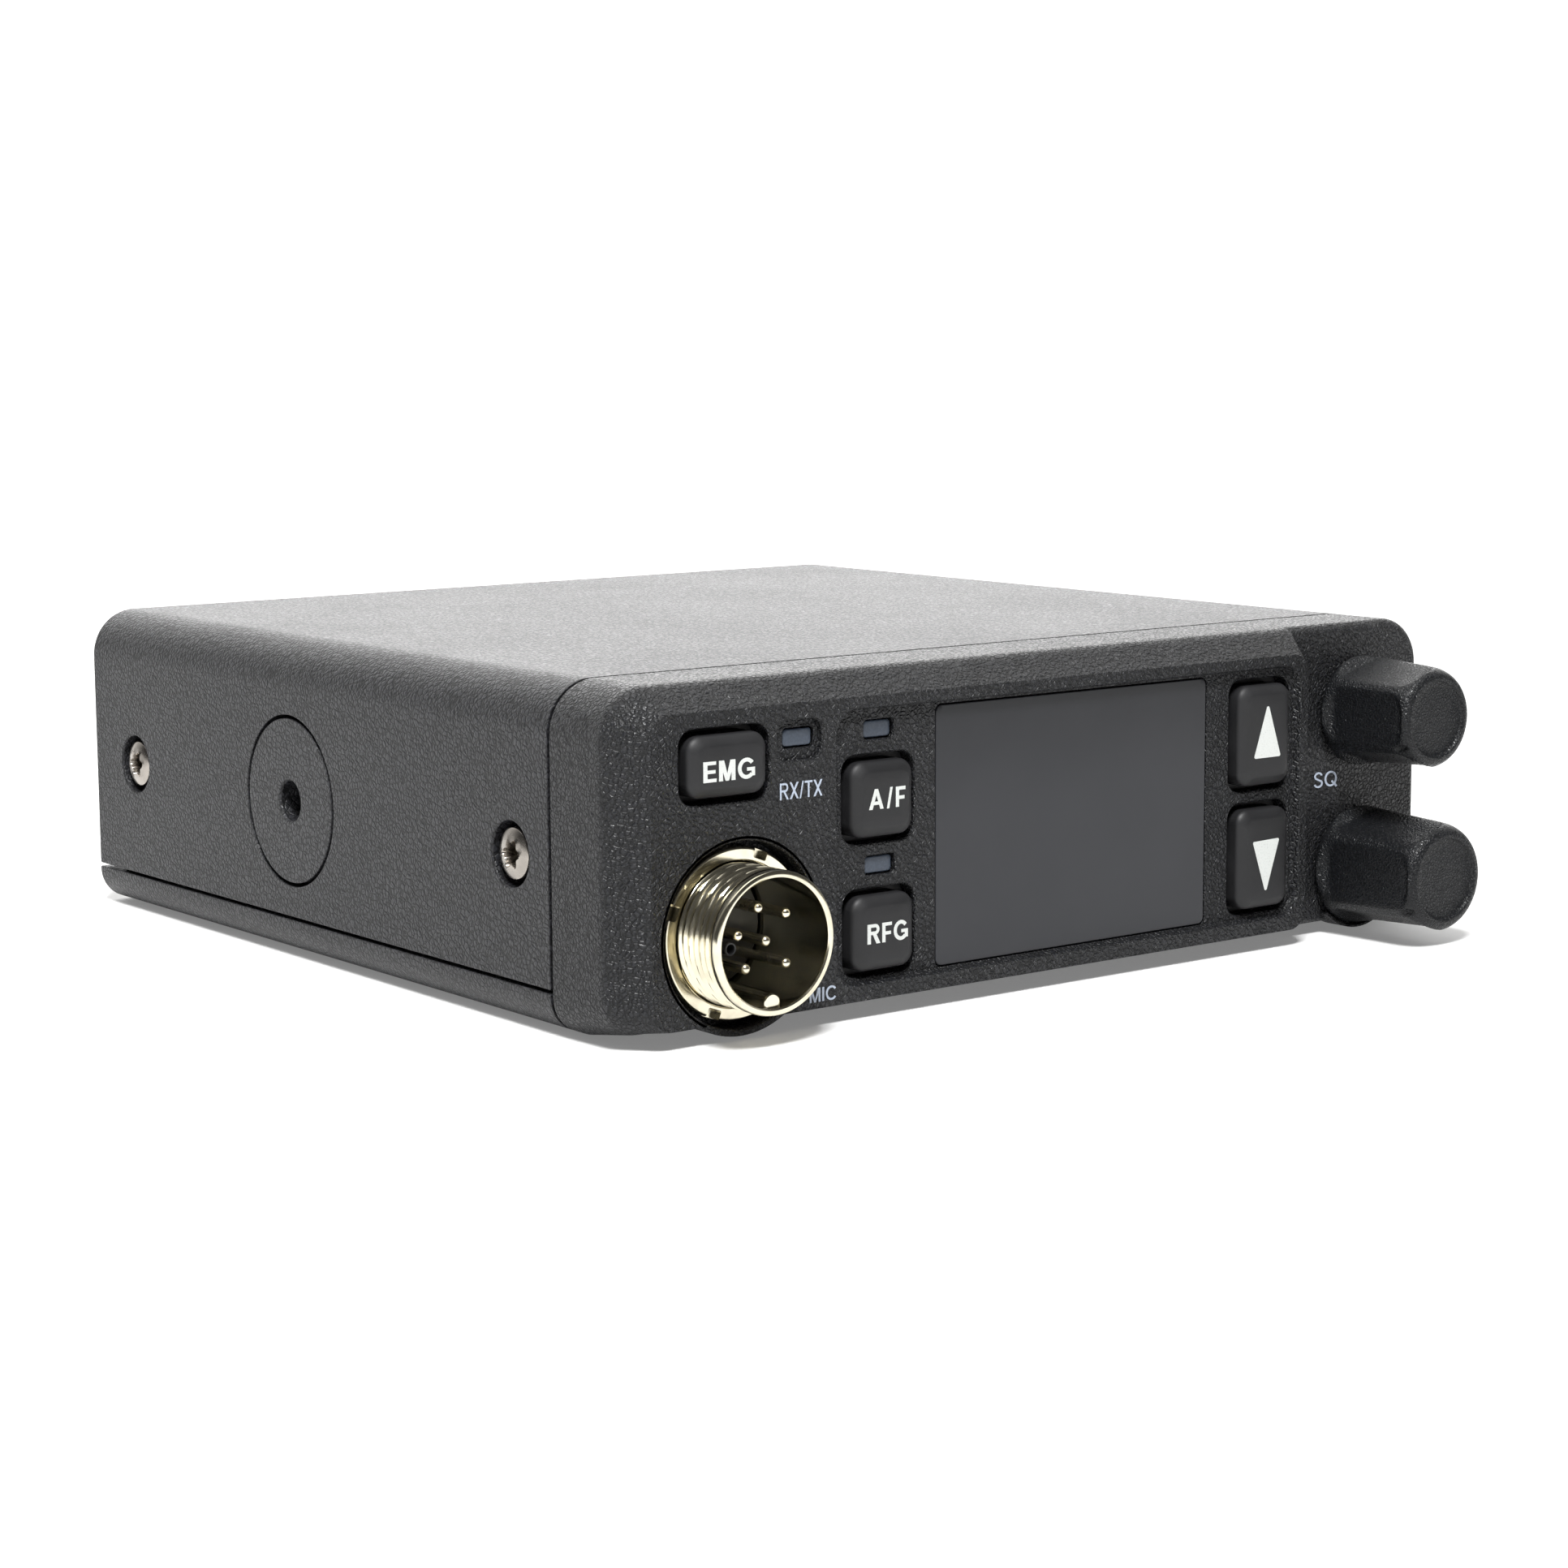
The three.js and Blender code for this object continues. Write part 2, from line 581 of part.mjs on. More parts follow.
function sideScrew(y, z, right) {
  const { head, headDepth, headHeight, shank } = SCREW;
  const foot = headDepth + headHeight;
  const screw = lathe([
    [0, headDepth + 0.9],
    [1.2, headDepth + 0.9],
    [1.4, headDepth],
    [head * 0.7, headDepth],
    [head - 0.25, headDepth + 0.35],
    [head, headDepth + 0.9],
    [head, foot - 0.05],
    [shank, foot - 0.05],
    [shank, 9.5],
    [0, 9.5],
  ], 14).rotateZ(-Math.PI / 2);
  return (right ? screw.rotateZ(Math.PI).translate(WIDTH, 0, 0) : screw).translate(0, y, z);
}

function bracketBoss(right) {
  const { radius, neck, bore, depth, y, z } = BOSS;
  const boss = lathe([
    [bore, 0],
    [radius, 0],
    [radius, CHASSIS_X - FIT],
    [neck, CHASSIS_X - FIT],
    [neck, depth],
    [bore, depth],
    [bore, 0],
  ], 32).rotateZ(-Math.PI / 2);
  return (right ? boss.rotateZ(Math.PI).translate(WIDTH, 0, 0) : boss).translate(0, y, z);
}

for (const right of [false, true]) {
  const side = right ? 'right' : 'left';
  addPiece(`bracket_boss_${side}`, bracketBoss(right), blackCasting);
  SIDE_SCREWS.forEach(({ y, z }, i) => {
    addPiece(`side_screw_${side}_${i ? 'rear' : 'front'}`, sideScrew(y, z, right), screwSteel);
  });
}

BOTTOM_SCREW_AT.forEach(([x, y], i) => {
  const screw = lathe([
    [0, 0.15], [2.6, 0.15], [2.6, 0.5], [1.5, 1.25], [1.5, 9.6], [0, 9.6],
  ], 12).rotateX(Math.PI / 2).translate(x, y, 0);
  addPiece(`bottom_screw_${i + 1}`, screw, screwSteel);
});

// ---------------------------------------------------------------- inside

// Die-cast H section: two side walls, a shelf, four posts for the bottom screws and four
// pads that carry the main board.
function chassis() {
  const walls = [CHASSIS_X, WIDTH - CHASSIS_X - CHASSIS_WALL].map(
    (x) => box(x, x + CHASSIS_WALL, 2, CHASSIS_END, 3.8, 33.5),
  );
  const shelf = box(CHASSIS_X + 1, WIDTH - CHASSIS_X - 1, 6, 94, SHELF_Z, SHELF_Z + SHELF_THICKNESS);
  const posts = BOTTOM_SCREW_AT.map(([x, y]) => cylinderZ(4.2, x, y, WALL + FIT, SHELF_Z + 0.5, 12));
  const pads = BOTTOM_SCREW_AT.map(([x, y]) => cylinderZ(3, x, y, SHELF_Z + 1, MAIN_BOARD_Z - 0.1, 8));
  const taps = BOTTOM_SCREW_AT.map(([x, y]) => cylinderZ(1.65, x, y, 0, 11, 8));
  const sideTaps = SIDE_SCREWS.map(({ y, z }) => cylinderX(1.65, y, z, 0, WIDTH, 10));
  return cut(
    join(...walls, shelf, ...posts, ...pads),
    cylinderX(BOSS.neck + 0.25, BOSS.y, BOSS.z, 0, 10, 24),
    cylinderX(BOSS.neck + 0.25, BOSS.y, BOSS.z, WIDTH - 10, WIDTH, 24),
    ...taps,
    ...sideTaps,
  );
}

addPiece('chassis', chassis(), castAluminium);
addPiece('main_circuit_board', box(
  7, 121, 8, 93, MAIN_BOARD_Z, MAIN_BOARD_Z + BOARD_THICKNESS,
), boardGreen);

const onBoard = MAIN_BOARD_Z + BOARD_THICKNESS + 0.1;
addPiece('rf_shield_can', prismZ(boxOutline(38, 62, 46, 36, 1.5), onBoard, onBoard + 7.5), tinPlate);
addPiece('processor_chip', prismZ(boxOutline(88, 30, 14, 14, 0.4, 1), onBoard, onBoard + 1.6), blackPlastic);
addPiece('smoothing_capacitor', cylinderZ(5, 84, 78, onBoard, onBoard + 9.4, 20), blackPlastic);
addPiece('board_connector', box(52, 76, BOARD_Y + BOARD_THICKNESS + 0.1, 14, onBoard, onBoard + 5), blackPlastic);

const transistor = join(
  box(102, 112.4, 100.6, 104.9, 12, 21),
  box(102, 112.4, 104, 105.6, 12, 27.5),
);
addPiece('power_transistor', transistor, blackPlastic);

addPiece('speaker_frame', lathe([
  [SPEAKER.radius, 2.6],
  [SPEAKER.radius, 4.2],
  [SPEAKER.radius - 3.5, 4.2],
  [16, 11],
  [13, 11],
  [13, 10.2],
  [15.4, 10.2],
  [SPEAKER.radius - 4.4, 3.4],
  [SPEAKER.radius - 4.4, 2.6],
  [SPEAKER.radius, 2.6],
], 24).rotateX(Math.PI / 2).translate(SPEAKER.x, SPEAKER.y, 0), tinPlate);
addPiece('speaker_cone', lathe([
  [SPEAKER.radius - 4.8, 2.7],
  [SPEAKER.radius - 4.8, 3.3],
  [9.5, 9.9],
  [0, 8.4],
  [0, 7.8],
  [9.5, 9.2],
  [SPEAKER.radius - 5.6, 2.7],
  [SPEAKER.radius - 4.8, 2.7],
], 24).rotateX(Math.PI / 2).translate(SPEAKER.x, SPEAKER.y, 0), conePaper);
addPiece('speaker_magnet', lathe([
  [0, 11.1], [15.6, 11.1], [15.6, 19], [0, 19],
], 24).rotateX(Math.PI / 2).translate(SPEAKER.x, SPEAKER.y, 0), blackCasting);

// ---------------------------------------------------------------- rear panel

// Finned plate inside the ends of the covers, with holes for the three sockets.
function rearPanel() {
  const { y0, plate, fins } = REAR;
  const finRows = [];
  for (let x = 7; x <= 121; x += 6) {
    const nearSocket = [ANTENNA.x, POWER.x, JACK.x].some((centre) => Math.abs(x - centre) < 13);
    finRows.push(box(x - 1, x + 1, y0 + plate - 0.5, y0 + plate + fins, nearSocket ? 29 : 5, 34.5));
  }
  const holes = [
    cylinderY(8.1, ANTENNA.x, ANTENNA.z, y0 - 1, y0 + plate + 1, 32),
    prismY(boxOutline(POWER.x, POWER.z, POWER.width + 0.4, POWER.height + 0.4, 1), y0 - 1, y0 + plate + 1),
    cylinderY(4.1, JACK.x, JACK.z, y0 - 1, y0 + plate + 1),
  ];
  return cut(
    join(prismY(bodyOutline(WALL + FIT), y0, y0 + plate), ...finRows),
    ...holes,
  );
}

addPiece('rear_panel', rearPanel(), blackCasting);

const panelFace = REAR.y0 + REAR.plate;
addPiece('antenna_socket', lathe([
  [6.4, 99],
  [7.9, 99],
  [7.9, panelFace + 0.1],
  [10.6, panelFace + 0.1],
  [10.6, panelFace + 2.2],
  [7.9, panelFace + 2.2],
  [7.9, ANTENNA.end - 0.4],
  [7.5, ANTENNA.end],
  [6.4, ANTENNA.end],
  [6.4, 99],
], 28).translate(ANTENNA.x, 0, ANTENNA.z), nickel);
addPiece('antenna_insulator', lathe([
  [2.2, 99.5], [6.2, 99.5], [6.2, 114], [2.2, 114], [2.2, 99.5],
], 20).translate(ANTENNA.x, 0, ANTENNA.z), whitePlastic);
addPiece('antenna_contact', lathe([
  [0, 96], [2, 96], [2, 117], [1.4, 117], [1.4, 106], [0, 106],
], 12).translate(ANTENNA.x, 0, ANTENNA.z), pinMetal);

function powerSocket() {
  const { x, z, width, height, end } = POWER;
  const shell = cut(
    prismY(boxOutline(x, z, width, height, 1), 98, end),
    prismY(boxOutline(x, z, width - 2.4, height - 2.4, 0.5), 106.5, end + 1),
  );
  const pins = [-4.4, 4.4].map((offset) => cylinderY(0.9, x + offset, z, 106, end - 1, 8));
  return join(shell, ...pins);
}

addPiece('power_socket', powerSocket(), blackPlastic);
addPiece('speaker_jack', join(
  lathe([
    [1.8, 101], [3.9, 101], [3.9, panelFace + 2.6], [3.6, panelFace + 2.9], [1.8, panelFace + 2.9], [1.8, 101],
  ], 16).translate(JACK.x, 0, JACK.z),
  lathe([
    [3.5, panelFace + 0.1], [5.6, panelFace + 0.1], [5.6, panelFace + 1.7], [3.5, panelFace + 1.7],
    [3.5, panelFace + 0.1],
  ], 6).translate(JACK.x, 0, JACK.z),
), nickel);

// ---------------------------------------------------------------- origin

const frontMost = Math.min(...KNOBS.map(({ y0 }) => y0));
radio.position.set(-WIDTH / 2, -(frontMost + ANTENNA.end) / 2, 0);

const transceiver = new THREE.Group();
transceiver.add(radio);

export default transceiver;
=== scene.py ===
"""Looks of the mobile transceiver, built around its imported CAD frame.

Every shape is worked out in millimetres in the case's own axes: x from its left side, y from
the joint between bezel and covers (the front is negative), z from its underside. A finished
mesh is then moved into the row frame, in metres.
"""
import json
import math

import bmesh
import bpy
from mathutils import Matrix, Vector


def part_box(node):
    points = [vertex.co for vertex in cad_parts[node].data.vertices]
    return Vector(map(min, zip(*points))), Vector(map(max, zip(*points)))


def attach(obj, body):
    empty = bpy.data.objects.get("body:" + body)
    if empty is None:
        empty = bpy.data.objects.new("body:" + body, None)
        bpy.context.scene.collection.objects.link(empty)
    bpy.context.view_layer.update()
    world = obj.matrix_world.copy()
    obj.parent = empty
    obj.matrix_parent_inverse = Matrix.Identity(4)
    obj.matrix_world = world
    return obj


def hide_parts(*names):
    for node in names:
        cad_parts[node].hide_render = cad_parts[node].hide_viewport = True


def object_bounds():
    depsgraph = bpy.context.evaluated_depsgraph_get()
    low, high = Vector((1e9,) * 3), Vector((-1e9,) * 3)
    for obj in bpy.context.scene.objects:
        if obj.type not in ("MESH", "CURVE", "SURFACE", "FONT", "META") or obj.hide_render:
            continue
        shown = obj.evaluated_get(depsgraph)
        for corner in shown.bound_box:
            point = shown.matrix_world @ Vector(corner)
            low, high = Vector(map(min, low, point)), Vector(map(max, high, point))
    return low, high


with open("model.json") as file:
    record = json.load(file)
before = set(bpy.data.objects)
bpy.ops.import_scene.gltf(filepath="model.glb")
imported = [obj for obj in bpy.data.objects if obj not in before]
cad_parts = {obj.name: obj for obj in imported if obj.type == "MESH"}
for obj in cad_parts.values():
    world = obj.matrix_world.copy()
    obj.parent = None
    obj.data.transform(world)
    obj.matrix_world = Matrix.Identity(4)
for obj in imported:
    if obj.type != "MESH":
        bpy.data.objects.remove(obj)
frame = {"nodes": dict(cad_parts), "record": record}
cad_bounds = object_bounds()

# ---- places and sizes

MM = 0.001
SEAM = 0.4
BEZEL_HIGH = Vector(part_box("front_bezel")[1])
COVER_LOW, COVER_HIGH = (Vector(corner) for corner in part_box("top_cover"))
ORIGIN = Vector((COVER_LOW.x, BEZEL_HIGH.y + SEAM / 2 * MM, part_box("bottom_cover")[0][2]))
TO_ROW = Matrix.Translation(ORIGIN) @ Matrix.Scale(MM, 4)


def box_mm(node):
    """The lowest and highest corner of a CAD node, in millimetres in the case's axes."""
    return [(Vector(corner) - ORIGIN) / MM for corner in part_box(node)]


def centre_mm(node):
    low, high = box_mm(node)
    return (low + high) / 2


WIDTH = (COVER_HIGH.x - COVER_LOW.x) / MM
HEIGHT = (COVER_HIGH.z - ORIGIN.z) / MM
COVER_END = (COVER_HIGH.y - ORIGIN.y) / MM
SEAM_HEIGHT = box_mm("top_cover")[0].z - SEAM / 2
WALL = 2.2
TOP_RADIUS = 6
BOTTOM_RADIUS = 4.3
CORNER_STEPS = 14
# Bezel and covers each stop this far from the joint, on a rounded edge.
JOINT_GAP = SEAM / 2 + 0.06
JOINT_EDGE = 0.12
# The mouth of a hole grows by this share of its lip.
LIP_OPENS = 1.05
# Speaker slots on each side of the middle one, and the step from one to the next.
SLOT_ROWS = 3
SLOT_PITCH = 6

FACE_Y = -14
CHAMFER_Y = -10.3
UNDERSIDE_BREAK_Y = -2.5
KNOB_PLANE_Y = -10.2
KNOB_PLANE_EDGE = 1.3
# Places along y inside the bezel: the back of the room behind the face, and the microphone
# socket's seat.
HOLLOW_Y = -6
MIC_SEAT_Y = -8.6
FACE = {"x0": 3.8, "x1": 103.75, "z0": 1.87, "z1": 36.4, "radius": 2.5}
SUNKEN = {"x0": 29.05, "x1": 102.5, "z0": 3.7, "z1": 35.1, "radius": 3, "depth": 1}
FLOOR_Y = FACE_Y + SUNKEN["depth"]
INNER_Y = FLOOR_Y + 2
SKIRT = {"radius": 8.15, "inner": 7.9, "y": -11.4, "top": 2.4}

BUTTONS = ("emg", "af", "rfg", "up", "down")
BUTTON_FLANGE = 0.6
BUTTON_GAP = 0.75
BUTTON_RADIUS = 1.75
BUTTON_HOLE_RADIUS = 1.9
# The flange of a button that is taller than wide reaches less far sideways: this much in all.
TALL_SPREAD = 1
# Inset and depth along the broad soft bevel of a button, then over its faint crown.
BUTTON_BEVEL = (
    (0.0, 1.25), (0.04, 1.0), (0.14, 0.8), (0.3, 0.62), (0.55, 0.43), (0.8, 0.27), (0.98, 0.17),
    (1.12, 0.11), (1.3, 0.08), (1.8, 0.04), (2.4, 0.0),
)
LENSES = ("rx_tx", "af", "rfg")
LENS_FRAME = {"aside": Vector((-0.25, 0, -0.2)), "size": (6.1, 4.4, 1.3), "depth": 0.6}
COLLAR_X, COLLAR_Z = 1.1, 0.7
# Room left round the lights and the window.
ROOM = 0.3

# Generic legends: the text, its rectangle (x from and to, z from and to), its face's y, the
# width of the pen and the gap between letters.
BEZEL_LEGENDS = (
    ("RX/TX", 21.06, 26.96, 25.85, 27.7, FACE_Y, 0.14, 0.1),
    ("MIC", 25.05, 28.8, 2.65, 4.25, FACE_Y, 0.15, 0.14),
    ("SQ", 108.95, 113.2, 18.6, 20.55, KNOB_PLANE_Y, 0.14, 0.12),
)
# The same on the buttons, without the y and the pen; the arrows are corners about the centre.
BUTTON_LEGENDS = {
    "emg": ("EMG", 9.87, 16.77, 28.9, 31.15, 0.13),
    "af": ("A/F", 33.3, 38.55, 23.62, 25.92, 0.2),
    "rfg": ("RFG", 33.05, 38.9, 8.35, 10.6, 0.12),
}
BUTTON_PEN = 0.2
LEGEND_SUNK = 0.02
ARROWS = {
    "up": [(-2.45, -2.72), (2.2, -2.72), (-0.1, 4.1)],
    "down": [(-2.45, 2.3), (-0.1, -4.4), (2.2, 2.42)],
}
PRINT_RAISED = 0.04
PRINT_ROOT = 0.1

MIC = centre_mm("mic_insulator")
MIC_RIM = box_mm("mic_shell")[0].y
MIC_FLOOR = box_mm("mic_insulator")[0].y
MIC_BORE = 7.13
MIC_CREST = 8
MIC_ROOT = 7.25
MIC_PITCH = 1.0
MIC_RECESS = {"radius": 10.45, "y": -10.6, "lobe": 11.26}
MIC_PINS = ["mic_pin_%d" % k for k in range(1, 7)]

KNOBS = {"volume_knob": "volume_control", "squelch_knob": "squelch_control"}
KNOB_SHAFT_HOLE = 3.5
# A knob's profile is drawn for this foot radius and scaled to the knob's own.
KNOB_DRAWN = 7.05
KNOB_SOLE = 0.8
KNOB_CROWN = 3.0
FLUTES = 5
FLUTE_HALF = math.radians(31.5)
FLUTE_DEPTH = 1.05
POINTER_DEGREES = 214
BOSS = centre_mm("bracket_boss_left")
BOSS_RADIUS = 10.2
BOSS_GAP = 0.45
SIDE_SCREW_WELL = 3.75
SCREW_HEAD = 2.4
SCREW_SHANK = 1.45
SIDE_SCREWS = [
    "side_screw_%s_%s" % (side, end) for side in ("left", "right") for end in ("front", "rear")
]
BOTTOM_SCREWS = ["bottom_screw_%d" % k for k in range(1, 5)]
REAR_PLATE = 2.4
REAR_SEAT = box_mm("rear_panel")[0].y + REAR_PLATE + 0.1

# ---- shapes in millimetres


def rounded(x0, x1, z0, z1, radius, steps=8):
    """Outline of a rounded rectangle; radius is one number, or four from the lower left."""
    radii = radius if isinstance(radius, (list, tuple)) else [radius] * 4
    corners = ((x0, z0, 180), (x1, z0, 270), (x1, z1, 0), (x0, z1, 90))
    points = []
    for (x, z, start), size in zip(corners, radii):
        size = max(size, 0.03)
        cx = x + size if x == x0 else x - size
        cz = z + size if z == z0 else z - size
        for k in range(steps + 1):
            turn = math.radians(start + 90 * k / steps)
            points.append((cx + size * math.cos(turn), cz + size * math.sin(turn)))
    return points


def around(centre, width, height, radius, steps=8):
    """Outline of a rounded rectangle about a centre whose x and z count."""
    return rounded(
        centre.x - width / 2, centre.x + width / 2,
        centre.z - height / 2, centre.z + height / 2, radius, steps,
    )


def at_y(outline, y):
    """An outline of x and z as a loop of points at this y."""
    return [(x, y, z) for x, z in outline]


def ring(axis, centre, radius, along, steps=64):
    """A circle about an axis through centre, at a place along it; radius may be a function."""
    points = []
    for k in range(steps):
        turn = 2 * math.pi * k / steps
        r = radius(turn) if callable(radius) else radius
        a, b = r * math.cos(turn), r * math.sin(turn)
        if axis == "y":
            points.append((centre.x + a, along, centre.z + b))
        elif axis == "x":
            points.append((along, centre.y + a, centre.z + b))
        else:
            points.append((centre.x + a, centre.y + b, along))
    return points


def clamped(t):
    return min(1.0, max(0.0, t))


def eased(t):
    return t * t * (3 - 2 * t)


def quarter(radius, steps=4):
    """Inset and depth of a rounded edge, from the side (0, radius) to the face (radius, 0)."""
    turns = [math.pi / 2 * k / steps for k in range(steps + 1)]
    return [(radius * (1 - math.cos(t)), radius * (1 - math.sin(t))) for t in turns]


def stack(loops, closed=False):
    """A solid of loops joined in order, its ends capped unless the last joins the first."""
    count, rows = len(loops[0]), len(loops)
    points, faces = [point for loop in loops for point in loop], []
    for row in range(rows if closed else rows - 1):
        here, there = row * count, (row + 1) % rows * count
        for k in range(count):
            after = (k + 1) % count
            faces.append((here + k, here + after, there + after, there + k))
    if not closed:
        faces += [tuple(range(count)), tuple(range((rows - 1) * count, rows * count))]
    mesh = bpy.data.meshes.new("shape")
    mesh.from_pydata(points, [], faces)
    return tidied(mesh)


def turned(centre, profile, steps=64, axis="y", closed=False):
    """A solid turned about an axis through centre, from rows of (radius, place)."""
    return stack([ring(axis, centre, radius, along, steps) for radius, along in profile], closed=closed)


def rod(centre, radius, start, stop, steps=48):
    return turned(centre, [(radius, start), (radius, stop)], steps)


def prism(outline, start, stop):
    """An outline of x and z carried along y."""
    return stack([at_y(outline, start), at_y(outline, stop)])


def drawn(centre, width, height, radius, rows, share=1, steps=8):
    """A rounded block through rows of (growth, y); its corner radius takes a share of growth."""
    loops = []
    for grow, y in rows:
        size = width + 2 * grow, height + 2 * grow, radius + grow * share
        loops.append(at_y(around(centre, *size, steps), y))
    return stack(loops)


def tidied(mesh):
    """The mesh without doubled points, its faces turned outwards."""
    work = bmesh.new()
    work.from_mesh(mesh)
    bmesh.ops.remove_doubles(work, verts=work.verts, dist=1e-5)
    bmesh.ops.recalc_face_normals(work, faces=work.faces)
    work.to_mesh(mesh)
    work.free()
    return mesh


def added(name, data):
    """A new object in the scene."""
    obj = bpy.data.objects.new(name, data)
    bpy.context.scene.collection.objects.link(obj)
    return obj


def combined(base, tools, operation="DIFFERENCE"):
    """base cut by, or joined with, each of the other meshes."""
    holder, helpers = added("work", base), [added("tool", tool) for tool in tools]
    for helper in helpers:
        step = holder.modifiers.new("step", "BOOLEAN")
        step.operation, step.solver, step.object = operation, "EXACT", helper
    graph = bpy.context.evaluated_depsgraph_get()
    result = bpy.data.meshes.new_from_object(holder.evaluated_get(graph))
    for helper in [holder, *helpers]:
        bpy.data.objects.remove(helper)
    return result


def body_outline(inset, z0=0.0):
    """The whole section of the case, drawn in by inset, its underside raised by z0."""
    low, high = BOTTOM_RADIUS - inset, TOP_RADIUS - inset
    radii = [low, low, high, high]
    return rounded(inset, WIDTH - inset, z0 + inset, HEIGHT - inset, radii, CORNER_STEPS)


def underside_at(y):
    """Height of the bezel's underside, which rises towards the face."""
    rise = FACE["z0"] * (UNDERSIDE_BREAK_Y - y) / (UNDERSIDE_BREAK_Y - FACE_Y)
    return max(0.0, rise)


# ---- materials


class Nodes:
    """Short calls that add nodes to a tree."""

    def __init__(self, tree):
        self.tree = tree

    def feed(self, socket, value):
        if isinstance(value, bpy.types.NodeSocket):
            self.tree.links.new(value, socket)
        else:
            socket.default_value = value

    def node(self, kind, settings=None, **inputs):
        """A new node; each input goes by its name, or by i and its number."""
        made = self.tree.nodes.new("ShaderNode" + kind)
        for key, value in (settings or {}).items():
            setattr(made, key, value)
        for key, value in inputs.items():
            slot = int(key[1:]) if key[0] == "i" and key[1:].isdigit() else key.replace("_", " ")
            self.feed(made.inputs[slot], value)
        return made

    def math(self, operation, a, b=0.0, c=0.0):
        return self.node("Math", {"operation": operation}, i0=a, i1=b, i2=c).outputs[0]

    def ramp(self, value, low, high, to_low=0.0, to_high=1.0):
        """value from low to high carried smoothly over to the other range."""
        return self.node(
            "MapRange", {"interpolation_type": "SMOOTHSTEP"},
            Value=value, From_Min=low, From_Max=high, To_Min=to_low, To_Max=to_high,
        ).outputs[0]

    def mix(self, factor, a, b):
        return self.node("Mix", {"data_type": "RGBA"}, Factor=factor, i6=a, i7=b).outputs[2]


class Surface(Nodes):
    """A node material with one Principled shader."""

    def __init__(self, name, color, roughness, metallic=0.0, **constants):
        self.material = bpy.data.materials.new(name)
        self.material.use_nodes = True
        self.material.diffuse_color = self.color = (*color, 1)
        super().__init__(self.material.node_tree)
        self.shader = self.tree.nodes["Principled BSDF"]
        self.set("Base Color", self.color)
        self.set("Roughness", roughness)
        self.set("Metallic", metallic)
        for key, value in constants.items():
            self.set(key.replace("_", " "), value)
        coordinates = self.node("TexCoord").outputs["Object"]
        self.place = self.node("Mapping", Vector=coordinates, Scale=(1 / MM,) * 3).outputs[0]

    def set(self, key, value):
        self.feed(self.shader.inputs[key], value)

    def noise(self, scale, detail=3.0, roughness=0.5, distortion=0.0, place=None):
        made = self.node("TexNoise", Vector=place or self.place, Scale=scale, Detail=detail,
                         Roughness=roughness, Distortion=distortion)
        return made.outputs["Fac"]

    def cells(self, scale, place=None, feature="F1"):
        made = self.node("TexVoronoi", {"feature": feature}, Vector=place or self.place, Scale=scale)
        return made.outputs["Distance"]

    def stretched(self, scale, rotation=(0, 0, 0)):
        return self.node("Mapping", Vector=self.place, Scale=scale, Rotation=rotation).outputs[0]

    def tint(self, factor, lighter):
        """The base colour, moved towards lighter (or darker) by a factor map."""
        color = tuple(min(1.0, c * lighter) for c in self.color[:3]) + (1,)
        mixed = self.mix(factor, self.color, color)
        self.set("Base Color", mixed)
        return mixed

    def relief(self, height, depth):
        """A bump of this depth in millimetres."""
        bump = self.node("Bump", Strength=1.0, Distance=depth * MM, Height=height)
        self.set("Normal", bump.outputs[0])

    def pointiness(self, low, high, to_low=0.0, to_high=1.0):
        """A map of the mesh's sharp edges or hollows."""
        return self.ramp(self.node("NewGeometry").outputs["Pointiness"], low, high, to_low, to_high)


def grained(name, color, roughness, cell, depth, mottle_and_painted_light=2.0, specular=0.4, gloss=0.2):
    """Moulded or painted black with a leather grain: wandering creases between low pebbles,
    specks of shine on the crests, painted highlight that makes the crests lighter and painted
    shade that makes the creases darker, and a slow drift of colour and gloss."""
    surface = Surface(name, color, roughness, Specular_IOR_Level=specular)
    slanted = surface.stretched((1.0, 1.0, 1.0), (0.3, 0.65, 0.2))
    wander = surface.noise(0.8 / cell, 1.0, 0.5, 1.0, slanted)
    crease = surface.math("ABSOLUTE", surface.math("SUBTRACT", wander, 0.5))
    crease = surface.ramp(crease, 0.0, 0.17)
    pebbles = surface.ramp(surface.cells(1 / cell, slanted, "DISTANCE_TO_EDGE"), 0.0, 0.23)
    fine = surface.noise(3.0 / cell, 2.0)
    height = surface.math("MULTIPLY_ADD", crease, 0.35, surface.math("MULTIPLY", pebbles, 0.65))
    height = surface.math("MULTIPLY_ADD", fine, 0.12, height)
    surface.relief(height, depth)
    drift = surface.ramp(surface.noise(0.045), 0.35, 0.65)
    # Painted highlight on the crests and painted shade in the creases, mixed with a slow random drift of
    # tone.
    crest = surface.ramp(height, 0.3, 0.95)
    surface.tint(surface.math("MULTIPLY_ADD", crest, 0.9, surface.math("MULTIPLY", drift, 0.1)), mottle_and_painted_light)
    rough = surface.math("MULTIPLY_ADD", crest, -gloss, roughness + gloss / 2)
    surface.set("Roughness", surface.math("MULTIPLY_ADD", drift, 0.02, rough))
    return surface.material


def moulded(name, color, roughness, depth=0.006, cell=0.16, mottle_and_painted_light=1.5, **constants):
    """Smooth moulded rubber or plastic: a very fine matt texture, faint mottling, and sharp
    edges painted slightly paler as a painted highlight."""
    surface = Surface(name, color, roughness, **constants)
    fine = surface.noise(1 / cell)
    surface.relief(fine, depth)
    mottle = surface.ramp(surface.noise(0.22, 4.0), 0.35, 0.7)
    # Painted highlight: the sharp edges are tinted paler, standing in for catch-lights.
    edge = surface.math("MULTIPLY", surface.pointiness(0.505, 0.56), 0.8)
    surface.tint(surface.math("MAXIMUM", surface.math("MULTIPLY", mottle, 0.3), edge), mottle_and_painted_light)
    surface.set("Roughness", surface.math("MULTIPLY_ADD", mottle, 0.09, roughness - 0.04))
    return surface.material


# Brown-grey colour for the painted shade in the hollows of metal parts.
HOLLOW_SHADE = (0.1, 0.085, 0.06, 1)


